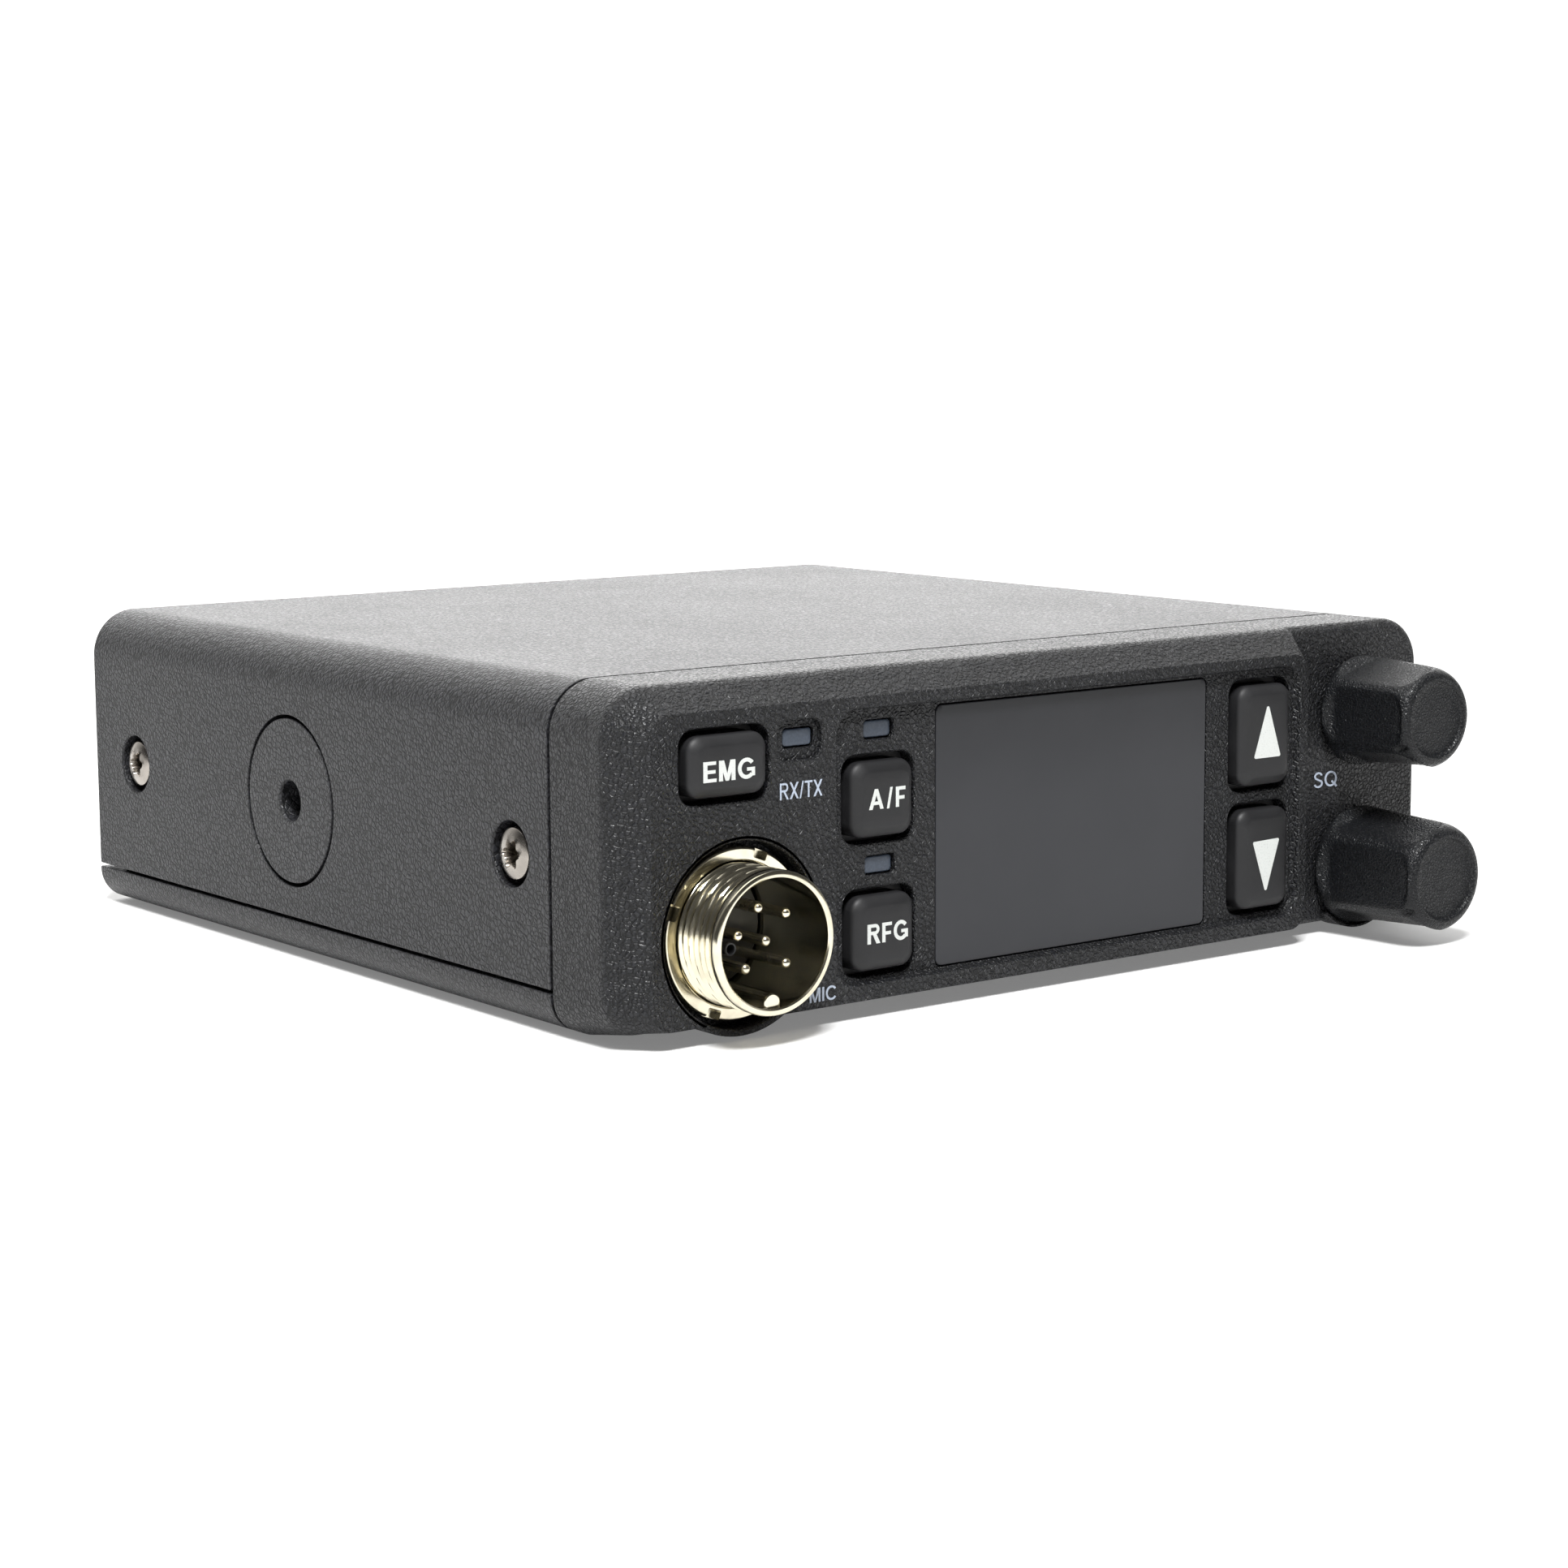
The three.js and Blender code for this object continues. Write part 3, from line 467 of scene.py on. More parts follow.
def metal(name, color, roughness, lines=None, depth=0.002, stain=0.75):
    """Plated or bare metal: turning or brushing marks along one way, smudges, faint tarnish and
    painted shade in the hollows."""
    surface = Surface(name, color, roughness, 1.0)
    marks = surface.noise(6.0, place=surface.stretched(lines or (1, 6, 1)))
    pits = surface.noise(2.4, 5.0)
    surface.relief(surface.math("MULTIPLY_ADD", pits, 0.5, marks), depth * 0.5)
    smudge = surface.ramp(surface.noise(0.35, 4.0), 0.4, 0.72)
    plated = surface.tint(surface.math("MULTIPLY", smudge, 0.8), stain)
    # Painted shade: concave hollows are darkened towards the brown-grey colour.
    hollow_shade = surface.math("MULTIPLY", surface.pointiness(0.43, 0.49, 1.0, 0.0), 0.85)
    surface.set("Base Color", surface.mix(hollow_shade, plated, HOLLOW_SHADE))
    rough = surface.math("MULTIPLY_ADD", smudge, 0.1, roughness)
    surface.set("Roughness", surface.math("MULTIPLY_ADD", marks, 0.05, rough))
    return surface.material


def circuit_board():
    surface = Surface("solder_mask", (0.02, 0.11, 0.05), 0.35, Coat_Weight=0.4)
    tracks = surface.node("TexBrick", {"offset": 0.37}, Vector=surface.place, Scale=0.42)
    copper = surface.math("LESS_THAN", surface.cells(0.5), 0.16)
    height = surface.math("ADD", tracks.outputs["Fac"], copper)
    surface.relief(height, 0.02)
    lighter = surface.mix(tracks.outputs["Fac"], surface.color, (0.03, 0.2, 0.09, 1))
    surface.set("Base Color", surface.mix(copper, lighter, (0.55, 0.52, 0.45, 1)))
    return surface.material


def window_glass():
    """Smoked hard-coated window: dark slate, with painted shade that darkens it slightly towards its top
    edge.
    """
    surface = Surface("display_glass", (0.0275, 0.0285, 0.0325), 0.3, Specular_IOR_Level=0.3)
    height = surface.node("SeparateXYZ", Vector=surface.place).outputs["Z"]
    # Painted shade: the colour darkens towards the window's top edge.
    top = surface.ramp(height, 20.0, 36.0)
    haze = surface.ramp(surface.noise(0.12, 4.0), 0.3, 0.75)
    factor = surface.math("MULTIPLY_ADD", haze, 0.05, surface.math("MULTIPLY", top, 0.8))
    surface.tint(factor, 0.55)
    surface.relief(surface.noise(3.0, 2.0), 0.0004)
    surface.set("Roughness", surface.math("MULTIPLY_ADD", haze, 0.04, 0.28))
    return surface.material


def lens():
    surface = Surface("light_lens", (0.036, 0.047, 0.066), 0.3, Specular_IOR_Level=0.4)
    frost = surface.noise(3.5, 4.0)
    surface.relief(frost, 0.01)
    surface.tint(surface.ramp(frost, 0.4, 0.7), 1.35)
    return surface.material


def printing(name, color):
    surface = Surface(name, color, 0.55)
    speckle = surface.noise(5.0)
    surface.relief(speckle, 0.008)
    surface.tint(surface.ramp(speckle, 0.5, 0.75), 0.82)
    return surface.material


MATERIALS = (
    grained("cover_paint", (0.004, 0.0041, 0.0048), 0.42, 0.68, 0.085, mottle_and_painted_light=5.2, gloss=0.11),
    grained("bezel_plastic", (0.0026, 0.0027, 0.0032), 0.42, 0.6, 0.15, mottle_and_painted_light=5.2),
    moulded("button_rubber", (0.0105, 0.0105, 0.0115), 0.52, mottle_and_painted_light=2.0, Specular_IOR_Level=0.4),
    grained("knob_plastic", (0.0032, 0.0035, 0.0042), 0.34, 0.4, 0.06, mottle_and_painted_light=2.6, specular=0.3),
    moulded("black_plastic", (0.009, 0.009, 0.0095), 0.4),
    moulded("white_plastic", (0.7, 0.67, 0.6), 0.4, mottle_and_painted_light=0.9),
    grained("black_casting", (0.0045, 0.0046, 0.0053), 0.42, 0.68, 0.08, mottle_and_painted_light=5.6, gloss=0.12),
    window_glass(),
    lens(),
    metal("nickel_plate", (0.81, 0.755, 0.59), 0.11),
    metal("screw_steel", (0.4, 0.37, 0.335), 0.17),
    metal("pin_metal", (0.87, 0.81, 0.66), 0.16),
    metal("cast_aluminium", (0.5, 0.51, 0.52), 0.45, depth=0.02, stain=0.85),
    metal("tin_plate", (0.6, 0.61, 0.62), 0.3, (6, 1, 1)),
    moulded("ferrite", (0.03, 0.03, 0.032), 0.6, depth=0.05, cell=0.5),
    moulded("speaker_paper", (0.035, 0.031, 0.028), 0.85, depth=0.08, cell=0.7),
)
# The frame has materials of the same names, so these may carry a number after a dot.
SLOT_MATERIALS = {material.name.partition(".")[0]: material for material in MATERIALS}
SLOT_MATERIALS["circuit_board"] = circuit_board()
WHITE_PRINT = printing("white_print", (0.62, 0.64, 0.62))
GREY_PRINT = printing("grey_print", (0.40, 0.45, 0.54))

# ---- pieces


def weigh_normals(obj):
    obj.modifiers.new("weighted normals", "WEIGHTED_NORMAL").keep_sharp = True


def piece(name, mesh, slot, nodes, body="body", prints=(), smooth=32):
    """A finished object in place of these CAD nodes. prints are pairs of a mesh, such as raised
    letters, and its material, joined in as part of the same piece."""
    mesh.name = name
    mesh.materials.clear()
    mesh.materials.append(SLOT_MATERIALS[slot])
    mesh.polygons.foreach_set("material_index", [0] * len(mesh.polygons))
    work = bmesh.new()
    work.from_mesh(mesh)
    for k, (print_mesh, print_material) in enumerate(prints):
        mesh.materials.append(print_material)
        first = len(work.faces)
        work.from_mesh(print_mesh)
        work.faces.ensure_lookup_table()
        for face in work.faces[first:]:
            face.material_index = k + 1
    for face in work.faces:
        face.smooth = True
    work.to_mesh(mesh)
    work.free()
    mesh.transform(TO_ROW)
    mesh.set_sharp_from_angle(angle=math.radians(smooth))
    obj = added(name, mesh)
    weigh_normals(obj)
    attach(obj, body)
    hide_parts(*nodes)
    return obj


# ---- lettering


def bar(x0, z0, x1, z1):
    return [(x0, z0), (x1, z0), (x1, z1), (x0, z1)]


def ribbon(path, pen):
    """Outline of a pen stroke along a path of points."""
    left, right = [], []
    for k, (x, z) in enumerate(path):
        before, after = path[max(k - 1, 0)], path[min(k + 1, len(path) - 1)]
        dx, dz = after[0] - before[0], after[1] - before[1]
        size = math.hypot(dx, dz)
        nx, nz = -dz / size * pen / 2, dx / size * pen / 2
        left.append((x + nx, z + nz))
        right.append((x - nx, z - nz))
    return left + right[::-1]


def bow(cx, cz, rx, rz, start, end, steps=16):
    """Points of part of an ellipse, between two angles in degrees."""
    turns = [math.radians(start + (end - start) * k / steps) for k in range(steps + 1)]
    return [(cx + rx * math.cos(t), cz + rz * math.sin(t)) for t in turns]


def mirrored(outline, wide):
    """The outline and its mirror image in a letter this wide."""
    return [outline, [(wide - x, z) for x, z in outline]]


def glyph(letter, pen):
    """Width of a capital one unit tall, and the outlines that make it up."""
    half, flat = pen / 2, pen * 0.84
    if letter == "E":
        middle = bar(half, 0.5 - flat / 2, 0.61, 0.5 + flat / 2)
        return 0.66, [bar(0, 0, pen, 1), bar(half, 0, 0.66, flat), middle, bar(half, 1 - flat, 0.64, 1)]
    if letter == "F":
        middle = bar(half, 0.46 - flat / 2, 0.54, 0.46 + flat / 2)
        return 0.6, [bar(0, 0, pen, 1), middle, bar(half, 1 - flat, 0.6, 1)]
    if letter == "M":
        wide = 0.84
        left = [(0.02, 1), (pen * 1.3, 1), (wide / 2 + pen * 0.42, 0), (wide / 2 - pen * 0.42, 0)]
        return wide, [bar(0, 0, pen, 1), bar(wide - pen, 0, wide, 1), *mirrored(left, wide)]
    if letter == "A":
        wide = 0.9
        left = [(0, 0), (pen * 1.06, 0), (wide / 2 + pen * 0.5, 1), (wide / 2 - pen * 0.5, 1)]
        return wide, [*mirrored(left, wide), bar(wide * 0.2, 0.22, wide * 0.8, 0.22 + flat)]
    if letter == "X":
        wide = 0.8
        left = [(0, 0), (pen * 1.2, 0), (wide, 1), (wide - pen * 1.2, 1)]
        return wide, mirrored(left, wide)
    if letter == "/":
        return 0.36, [[(0, -0.02), (pen * 0.75, -0.02), (0.36, 1.02), (0.36 - pen * 0.75, 1.02)]]
    if letter == "T":
        return 0.7, [bar(0.35 - half, 0, 0.35 + half, 1), bar(0, 1 - flat, 0.7, 1)]
    if letter == "I":
        return pen, [bar(0, 0, pen, 1)]
    if letter == "R":
        turn = bow(0.47, 0.73, 0.27 - half, 0.27 - flat / 2, 90, -90)
        loop = [(half, 1 - flat / 2), *turn, (half, 0.46 + flat / 2)]
        leg = [(0.3, 0.5), (0.3 + pen * 1.15, 0.5), (0.78, 0), (0.78 - pen * 1.2, 0)]
        return 0.78, [bar(0, 0, pen, 1), ribbon(loop, flat), leg]
    if letter == "S":
        upper = bow(0.35, 0.74, 0.32 - half, 0.275 - flat / 2, 12, 222)
        lower = bow(0.35, 0.265, 0.345 - half, 0.28 - flat / 2, 42, -166)
        return 0.7, [ribbon(upper + lower, flat)]
    if letter == "C":
        return 0.8, [ribbon(bow(0.44, 0.5, 0.45 - half, 0.52 - half, 38, 322, 24), pen * 0.95)]
    if letter == "G":
        sweep = bow(0.45, 0.5, 0.46 - half, 0.52 - half, 38, 318, 24)
        upright = bar(0.88 - pen * 0.9, 0.12, 0.88, 0.5)
        return 0.88, [ribbon(sweep, pen * 0.95), bar(0.47, 0.54 - flat, 0.88, 0.54), upright]
    # What is left is a Q.
    sweep = bow(0.46, 0.5, 0.47 - half, 0.52 - half, 60, 424, 32)
    return 0.94, [ribbon(sweep, pen * 0.92), [(0.5, 0.3), (0.58, 0.4), (0.97, 0.0), (0.86, -0.08)]]


def letters(text, x0, x1, z0, z1, y, pen, gap):
    """Raised print that fills the rectangle on the face at y; pen is the stroke width and gap
    the space between letters, both as a share of the letters' height."""
    glyphs = [glyph(letter, pen) for letter in text]
    total = sum(width for width, _ in glyphs) + gap * (len(text) - 1)
    scale = (x1 - x0) / total
    made, start = [], 0.0
    for width, outlines in glyphs:
        solids = []
        for outline in outlines:
            placed = [(x0 + (start + x) * scale, z0 + z * (z1 - z0)) for x, z in outline]
            solids.append(prism(placed, y - PRINT_RAISED, y + PRINT_ROOT))
        made.append(combined(solids[0], solids[1:], "UNION") if len(solids) > 1 else solids[0])
        start += width + gap
    return joined(made)


def joined(meshes):
    """One mesh of several, as they stand."""
    work = bmesh.new()
    for mesh in meshes:
        work.from_mesh(mesh)
    result = bpy.data.meshes.new("joined")
    work.to_mesh(result)
    work.free()
    return result


def softened(corners, radius, steps=4):
    """A polygon's outline with its corners rounded."""
    points = []
    for k, corner in enumerate(corners):
        here = Vector(corner)
        before = (Vector(corners[k - 1]) - here).normalized()
        after = (Vector(corners[(k + 1) % len(corners)]) - here).normalized()
        half = before.angle(after) / 2
        reach = radius / math.tan(half)
        a, b = here + before * reach, here + after * reach
        centre = here + (before + after).normalized() * (radius / math.sin(half))
        for j in range(steps + 1):
            blend = a.lerp(b, j / steps) - centre
            points.append(tuple(centre + blend.normalized() * radius))
    return points


def polygon_print(corners, y):
    return prism(softened(corners, 0.22), y - PRINT_RAISED, y + PRINT_ROOT)


# ---- covers


def cover_loops(outline):
    """The cover's section carried from the bezel joint to the rear, its end edges rounded."""
    front = [(JOINT_GAP + depth, inset) for inset, depth in reversed(quarter(JOINT_EDGE, 3))]
    rear = [(COVER_END - depth, inset) for inset, depth in quarter(0.4, 3)]
    return [at_y(outline(inset), y) for y, inset in [*front, *rear]]


def channel(outer, inner, corners):
    """Section of bent sheet, open between two corners: along its outside, then back inside."""
    cut = corners * (CORNER_STEPS + 1)
    return outer[cut:] + outer[:cut] + inner[:cut][::-1] + inner[cut:][::-1]


def top_outline(inset):
    low, sides = SEAM_HEIGHT + SEAM / 2 + inset, []
    for side, edge in ((inset, 0.2), (WALL - inset, 0.05)):
        radii = [edge, edge, TOP_RADIUS - side, TOP_RADIUS - side]
        sides.append(rounded(side, WIDTH - side, low, HEIGHT - side, radii, CORNER_STEPS))
    return channel(*sides, corners=1)


def bottom_outline(inset):
    high, sides = SEAM_HEIGHT - SEAM / 2 - inset, []
    for side, edge in ((inset, 0.2), (WALL - inset, 0.05)):
        radii = [BOTTOM_RADIUS - side, BOTTOM_RADIUS - side, edge, edge]
        sides.append(rounded(side, WIDTH - side, side, high, radii, CORNER_STEPS))
    return channel(*sides, corners=3)


def rolled_lip(lip):
    """Growth and depth of a hole's rolled mouth, nearly to the face."""
    return quarter(lip, 5)[:-1]


def lipped(axis, centre, radius, face, inward, deep, lip=0.25, steps=64):
    """Cutter for a round hole with a rolled mouth at the face."""
    profile = [(radius, face + inward * deep)]
    profile += [(radius + grow, face + inward * depth) for grow, depth in rolled_lip(lip)]
    profile.append((radius + lip * LIP_OPENS, face - inward * 0.4))
    return turned(centre, profile, steps, axis)


def make_top_cover():
    through = WALL + 1
    tools = []
    for name in SIDE_SCREWS:
        inward, face = (1, 0) if "left" in name else (-1, WIDTH)
        tools.append(lipped("x", centre_mm(name), SIDE_SCREW_WELL, face, inward, through, 0.3))
    for inward, face in ((1, 0), (-1, WIDTH)):
        tools.append(lipped("x", BOSS, BOSS_RADIUS + BOSS_GAP, face, inward, through, 0.12, 96))
    mesh = combined(stack(cover_loops(top_outline)), tools)
    piece("top_cover_shell", mesh, "cover_paint", ["top_cover"])


def make_bottom_cover():
    """The lower cover, with wells for its screws and a round patch of speaker slots."""
    tools = [lipped("z", centre_mm(name), 2.9, 0, 1, 1.3, 0.25, 48) for name in BOTTOM_SCREWS]
    low, high = box_mm("speaker_frame")
    speaker, reach = (low + high) / 2, (high.x - low.x) / 2 - 4
    for row in range(-SLOT_ROWS, SLOT_ROWS + 1):
        aside = row * SLOT_PITCH
        y, half = speaker.y + aside, math.sqrt(reach ** 2 - aside ** 2)
        loops = []
        for grow, z in ((0.9, -0.4), (0.28, 0.0), (0.08, 0.12), (0.0, 0.35), (0.0, WALL + 1)):
            left, right = speaker.x - half - grow, speaker.x + half + grow
            slot = rounded(left, right, y - 1 - grow, y + 1 + grow, 0.95 + grow)
            loops.append([(x, v, z) for x, v in slot])
        tools.append(stack(loops))
    mesh = combined(stack(cover_loops(bottom_outline)), tools)
    piece("bottom_cover_shell", mesh, "cover_paint", ["bottom_cover"])


# ---- bezel


def pocket(centre, width, height, radius, face, back, lip=0.3):
    """Cutter for a rounded rectangular hole, its mouth rolled at the face."""
    rows = [(0.0, back), *((grow, face + depth) for grow, depth in rolled_lip(lip))]
    return drawn(centre, width, height, radius, [*rows, (lip * LIP_OPENS, face - 2)])


def block_outline(y):
    shape = [BOTTOM_RADIUS, 0.5, 0.5, TOP_RADIUS]
    return rounded(0, FACE["x1"] + 0.3, underside_at(y), HEIGHT, shape, CORNER_STEPS)


def blended(a, b, t):
    """The outline that lies t of the way from a to b."""
    return [(p[0] + (q[0] - p[0]) * t, p[1] + (q[1] - p[1]) * t) for p, q in zip(a, b)]


def bezel_shell():
    """The full section of the case, from the joint to the plane behind the knobs."""
    joint = reversed(quarter(JOINT_EDGE, 3))
    loops = [at_y(body_outline(inset), -JOINT_GAP - depth) for inset, depth in joint]
    loops.append(at_y(body_outline(0), UNDERSIDE_BREAK_Y))
    for inset, depth in quarter(KNOB_PLANE_EDGE, 6):
        y = KNOB_PLANE_Y + depth
        loops.append(at_y(body_outline(inset, underside_at(y) - inset * 0.5), y))
    return stack(loops)


def raised_block():
    """It leaves the full section softly and meets the face on a crisp edge."""
    full = block_outline(CHAMFER_Y)
    face = rounded(FACE["x0"], FACE["x1"], FACE["z0"], FACE["z1"], FACE["radius"], CORNER_STEPS)
    loops = [at_y(block_outline(y), y) for y in (KNOB_PLANE_Y + KNOB_PLANE_EDGE + 0.4, -9.2)]
    for y, share in ((-9.8, 0.008), (-10.3, 0.045), (-10.8, 0.125), (-11.3, 0.25)):
        loops.append(at_y(blended(block_outline(y), face, share), y))
    for y, share in ((-13.72, 0.925), (-13.88, 0.965), (-13.96, 0.988), (FACE_Y, 1.01)):
        loops.append(at_y(blended(full, face, share), y))
    return stack(loops)


def bezel_lobes():
    """The rims that reach out under the microphone socket and the lower knob, and the thin
    skirt on the second."""
    rim, skirt, foot = MIC_RECESS["lobe"], SKIRT["radius"], centre_mm("squelch_knob")
    mic_lobe = turned(MIC, [
        (rim, KNOB_PLANE_Y + 1), (rim, FACE_Y + 0.3), (rim - 0.1, FACE_Y + 0.08), (rim - 0.3, FACE_Y),
    ], 96)
    knob_lobe = turned(foot, [
        (skirt, KNOB_PLANE_Y + 2), (skirt, KNOB_PLANE_Y + 0.25), (skirt - 0.2, KNOB_PLANE_Y + 0.05),
    ], 96)
    half = math.acos((foot.z - SKIRT["top"]) / skirt)
    arc = [1.5 * math.pi + half * (k / 12 - 1) for k in range(25)]
    section = [
        (foot.x + radius * math.cos(turn), foot.z + radius * math.sin(turn))
        for radius, turns in ((skirt, arc), (SKIRT["inner"], arc[::-1])) for turn in turns
    ]
    return [mic_lobe, knob_lobe, prism(section, SKIRT["y"], KNOB_PLANE_Y + 0.6)]


def sunken_zone():
    """Cutter with a rolled rim, a short slope and a small fillet round the floor."""
    rows = (
        (-0.4, FACE_Y - 0.5), (-0.15, FACE_Y - 0.01), (-0.03, FACE_Y + 0.05), (0.05, FACE_Y + 0.16),
        (0.32, FLOOR_Y - 0.2), (0.42, FLOOR_Y - 0.06), (0.58, FLOOR_Y),
    )
    loops = []
    for inset, y in rows:
        side = inset * 0.7
        loops.append(at_y(rounded(
            SUNKEN["x0"] + inset, SUNKEN["x1"] - inset, SUNKEN["z0"] + side, SUNKEN["z1"] - side,
            SUNKEN["radius"] - inset * 0.5, 12,
        ), y))
    return stack(loops)


def front_openings():
    """Cutters for the buttons, lights, window, microphone socket and knob shafts."""
    tools, spread, through = [], 2 * BUTTON_GAP, INNER_Y + 1
    for name in BUTTONS:
        centre, width, height = button_size(name)
        face = FACE_Y if name == "emg" else FLOOR_Y
        tools.append(pocket(centre, width + spread, height + spread, BUTTON_HOLE_RADIUS, face, through))
    for name in LENSES:
        centre, width, height = lens_size(name)
        framed = name == "rx_tx"
        mouth = FACE_Y + LENS_FRAME["depth"] if framed else FLOOR_Y
        tools.append(pocket(centre, width + ROOM, height + ROOM, 0.5, mouth, through, 0.25))
        if framed:
            tools.append(pocket(centre + LENS_FRAME["aside"], *LENS_FRAME["size"], FACE_Y, mouth, 0.28))
    low, high = box_mm("display_window")
    middle, width, height = (low + high) / 2, high.x - low.x, high.z - low.z
    tools.append(pocket(middle, width + ROOM, height + ROOM, 0.9, FLOOR_Y, FLOOR_Y + 1.2, 0.1))
    tools.append(pocket(middle, width - 4, height - 4, 0.5, FLOOR_Y, through, 0.05))
    tools.append(lipped("y", MIC, MIC_RECESS["radius"], FACE_Y, 1, MIC_RECESS["y"] - FACE_Y, 0.3, 96))
    tools.append(rod(MIC, MIC_CREST + 0.2, FACE_Y - 1, 0, 96))
    return tools + [rod(centre_mm(name), KNOB_SHAFT_HOLE, FACE_Y, 0) for name in KNOBS]


def hollows():
    """Cutters behind the face, round the seat of the microphone socket, and behind the knobs."""
    behind = prism(rounded(5.6, 102.2, 2.9, 35.8, 1, 3), INNER_Y, HOLLOW_Y)
    seat = rod(MIC, MIC_RECESS["radius"] + 0.4, INNER_Y - 0.5, MIC_SEAT_Y)
    nut_room = rod(MIC, 9.1, MIC_SEAT_Y - 0.05, HOLLOW_Y + 0.1)
    return [combined(behind, [seat]), nut_room, prism(body_outline(WALL), KNOB_PLANE_Y + 2, 1)]


def make_bezel():
    solid = combined(bezel_shell(), [raised_block(), *bezel_lobes()], "UNION")
    solid = combined(solid, [sunken_zone(), *front_openings(), *hollows()])
    prints = [(letters(*legend), GREY_PRINT) for legend in BEZEL_LEGENDS]
    piece("front_bezel_shell", solid, "bezel_plastic", ["front_bezel"], prints=prints)


# ---- front controls


def button_size(name):
    """Centre, width and height of a button's face; its hidden flange reaches further."""
    low, high = box_mm("button_" + name)
    centre = (low + high) / 2
    spread = 2 * (BUTTON_GAP + BUTTON_FLANGE)
    height = high.z - low.z - spread
    tall = height > high.x - low.x - spread
    width = high.x - low.x - (TALL_SPREAD if tall else spread)
    return Vector((centre.x, low.y, centre.z)), width, height


def lens_size(name):
    """Centre, width and height of a light's face; its hidden collar reaches further."""
    low, high = box_mm("light_pipe_" + name)
    centre = (low + high) / 2
    return Vector((centre.x, low.y, centre.z)), high.x - low.x - COLLAR_X, high.z - low.z - COLLAR_Z


def make_buttons():
    for name in BUTTONS:
        node = "button_" + name
        centre, width, height = button_size(name)
        low, high = box_mm(node)
        front = low.y
        rows = [(0.0, INNER_Y + 0.5 - front), *BUTTON_BEVEL]
        rows = [(-inset, front + depth) for inset, depth in rows]
        face = drawn(centre, width, height, BUTTON_RADIUS, rows, 0.6, 10)
        outline = around(centre, high.x - low.x, high.z - low.z, 0.8)
        flange = prism(outline, INNER_Y + 0.2, INNER_Y + 1.2)
        stem = rod(centre, 2, INNER_Y + 1, high.y, 32)
        cap = combined(face, [flange, stem], "UNION")
        if name in ARROWS:
            corners = [(centre.x + dx, centre.z + dz) for dx, dz in ARROWS[name]]
            legend = polygon_print(corners, front + LEGEND_SUNK)
        else:
            *placed, gap = BUTTON_LEGENDS[name]
            legend = letters(*placed, front + LEGEND_SUNK, BUTTON_PEN, gap)
        piece(node + "_cap", cap, "button_rubber", [node], name + "_button", [(legend, WHITE_PRINT)])


def pane(centre, width, height, low, high, edge, radius, share):
    """A flat pane between two places along y, its front edge softened."""
    rows = [(0.0, high.y - low.y), *quarter(edge, 3), (0.6, 0.0)]
    rows = [(-inset, low.y + depth) for inset, depth in rows]
    return drawn(centre, width, height, radius, rows, share)


def make_window_and_lights():
    low, high = box_mm("display_window")
    glass = pane((low + high) / 2, high.x - low.x, high.z - low.z, low, high, 0.12, 0.8, 0.5)
    piece("display_window_pane", glass, "display_glass", ["display_window"])
    for name in LENSES:
        node = "light_pipe_" + name
        centre, width, height = lens_size(name)
        face = pane(centre, width, height, *box_mm(node), 0.2, 0.45, 0.4)
        collar = prism(around(centre, width + COLLAR_X, height + COLLAR_Z, 0.4), INNER_Y + 0.2, -9.8)
        piece("light_" + name, combined(face, [collar], "UNION"), "light_lens", [node])


def flute(turn, along, length):
    """Depth of the flutes at a place on a knob, as a share: each fades out in a curve."""
    nearest = (turn - math.pi) % (2 * math.pi / FLUTES)
    if nearest > math.pi / FLUTES:
        nearest -= 2 * math.pi / FLUTES
    u = abs(nearest) / FLUTE_HALF
    if u >= 1:
        return 0.0
    curve = 1 - math.sqrt(1 - u * u)
    head, foot = length - 0.55 - 1.6 * curve - along, along - 0.35 - 1.5 * curve
    return (1 - u * u) * eased(clamped(head / 0.9) * clamped(foot / 1.2))


def pointer(turn, along, length):
    """Depth of the dent near the tip that marks the knob's setting."""
    away, up = (math.degrees(turn) - POINTER_DEGREES) / 4.2, (along - (length - 1.35)) / 0.75
    return 0.5 * math.exp(-(away * away + up * up) ** 2)


def knob_loops(centre, foot_y, tip_y, foot_radius):
    """Loops of a knob from its shaft bore round the foot, along the flutes and over the cap."""
    length, scale = foot_y - tip_y, foot_radius / KNOB_DRAWN
    shoulder, rim, cap, dish = (size * scale for size in (6.5, 5.18, 4.93, 4.5))
    shoulder_at = length - KNOB_CROWN

    def side(plain, along):
        deep = FLUTE_DEPTH * scale
        return lambda turn: plain - deep * flute(turn, along, length) - pointer(turn, along, length)

    foot = ((0.0, -0.55), (0.05, -0.36), (0.2, -0.18), (0.45, -0.05), (KNOB_SOLE, 0.0))
    rows = [(along, foot_radius + grow) for along, grow in foot]
    along = KNOB_SOLE
    while along < shoulder_at:
        along = min(along + 0.4, shoulder_at)
        share = (along - KNOB_SOLE) / (length - (KNOB_CROWN + KNOB_SOLE))
        rows.append((along, foot_radius + (shoulder - foot_radius) * share))
    for k in range(1, 13):
        turn = math.pi / 2 * k / 12
        rows.append((shoulder_at + 2.94 * math.sin(turn), rim + (shoulder - rim) * math.cos(turn) ** 0.9))
    rows += [(length, rim - 0.07), (length, rim - 0.25), (length, cap)]
    for k in range(1, 6):
        rows.append((length - 0.4 * eased(k / 5), cap + (dish - cap) * k / 5))
    rows += [(length - 0.41, dish * 0.8), (length - 0.36, dish * 0.4), (length - 0.34, 0.35)]
    bore = [(length - 3.2, 0.3), (length - 3.2, 3.1), (0.3, 3.1), (0.0, 3.4)]
    rows = [*bore, *((along, side(plain, along)) for along, plain in rows)]
    return [ring("y", centre, radius, foot_y - along, 180) for along, radius in rows]


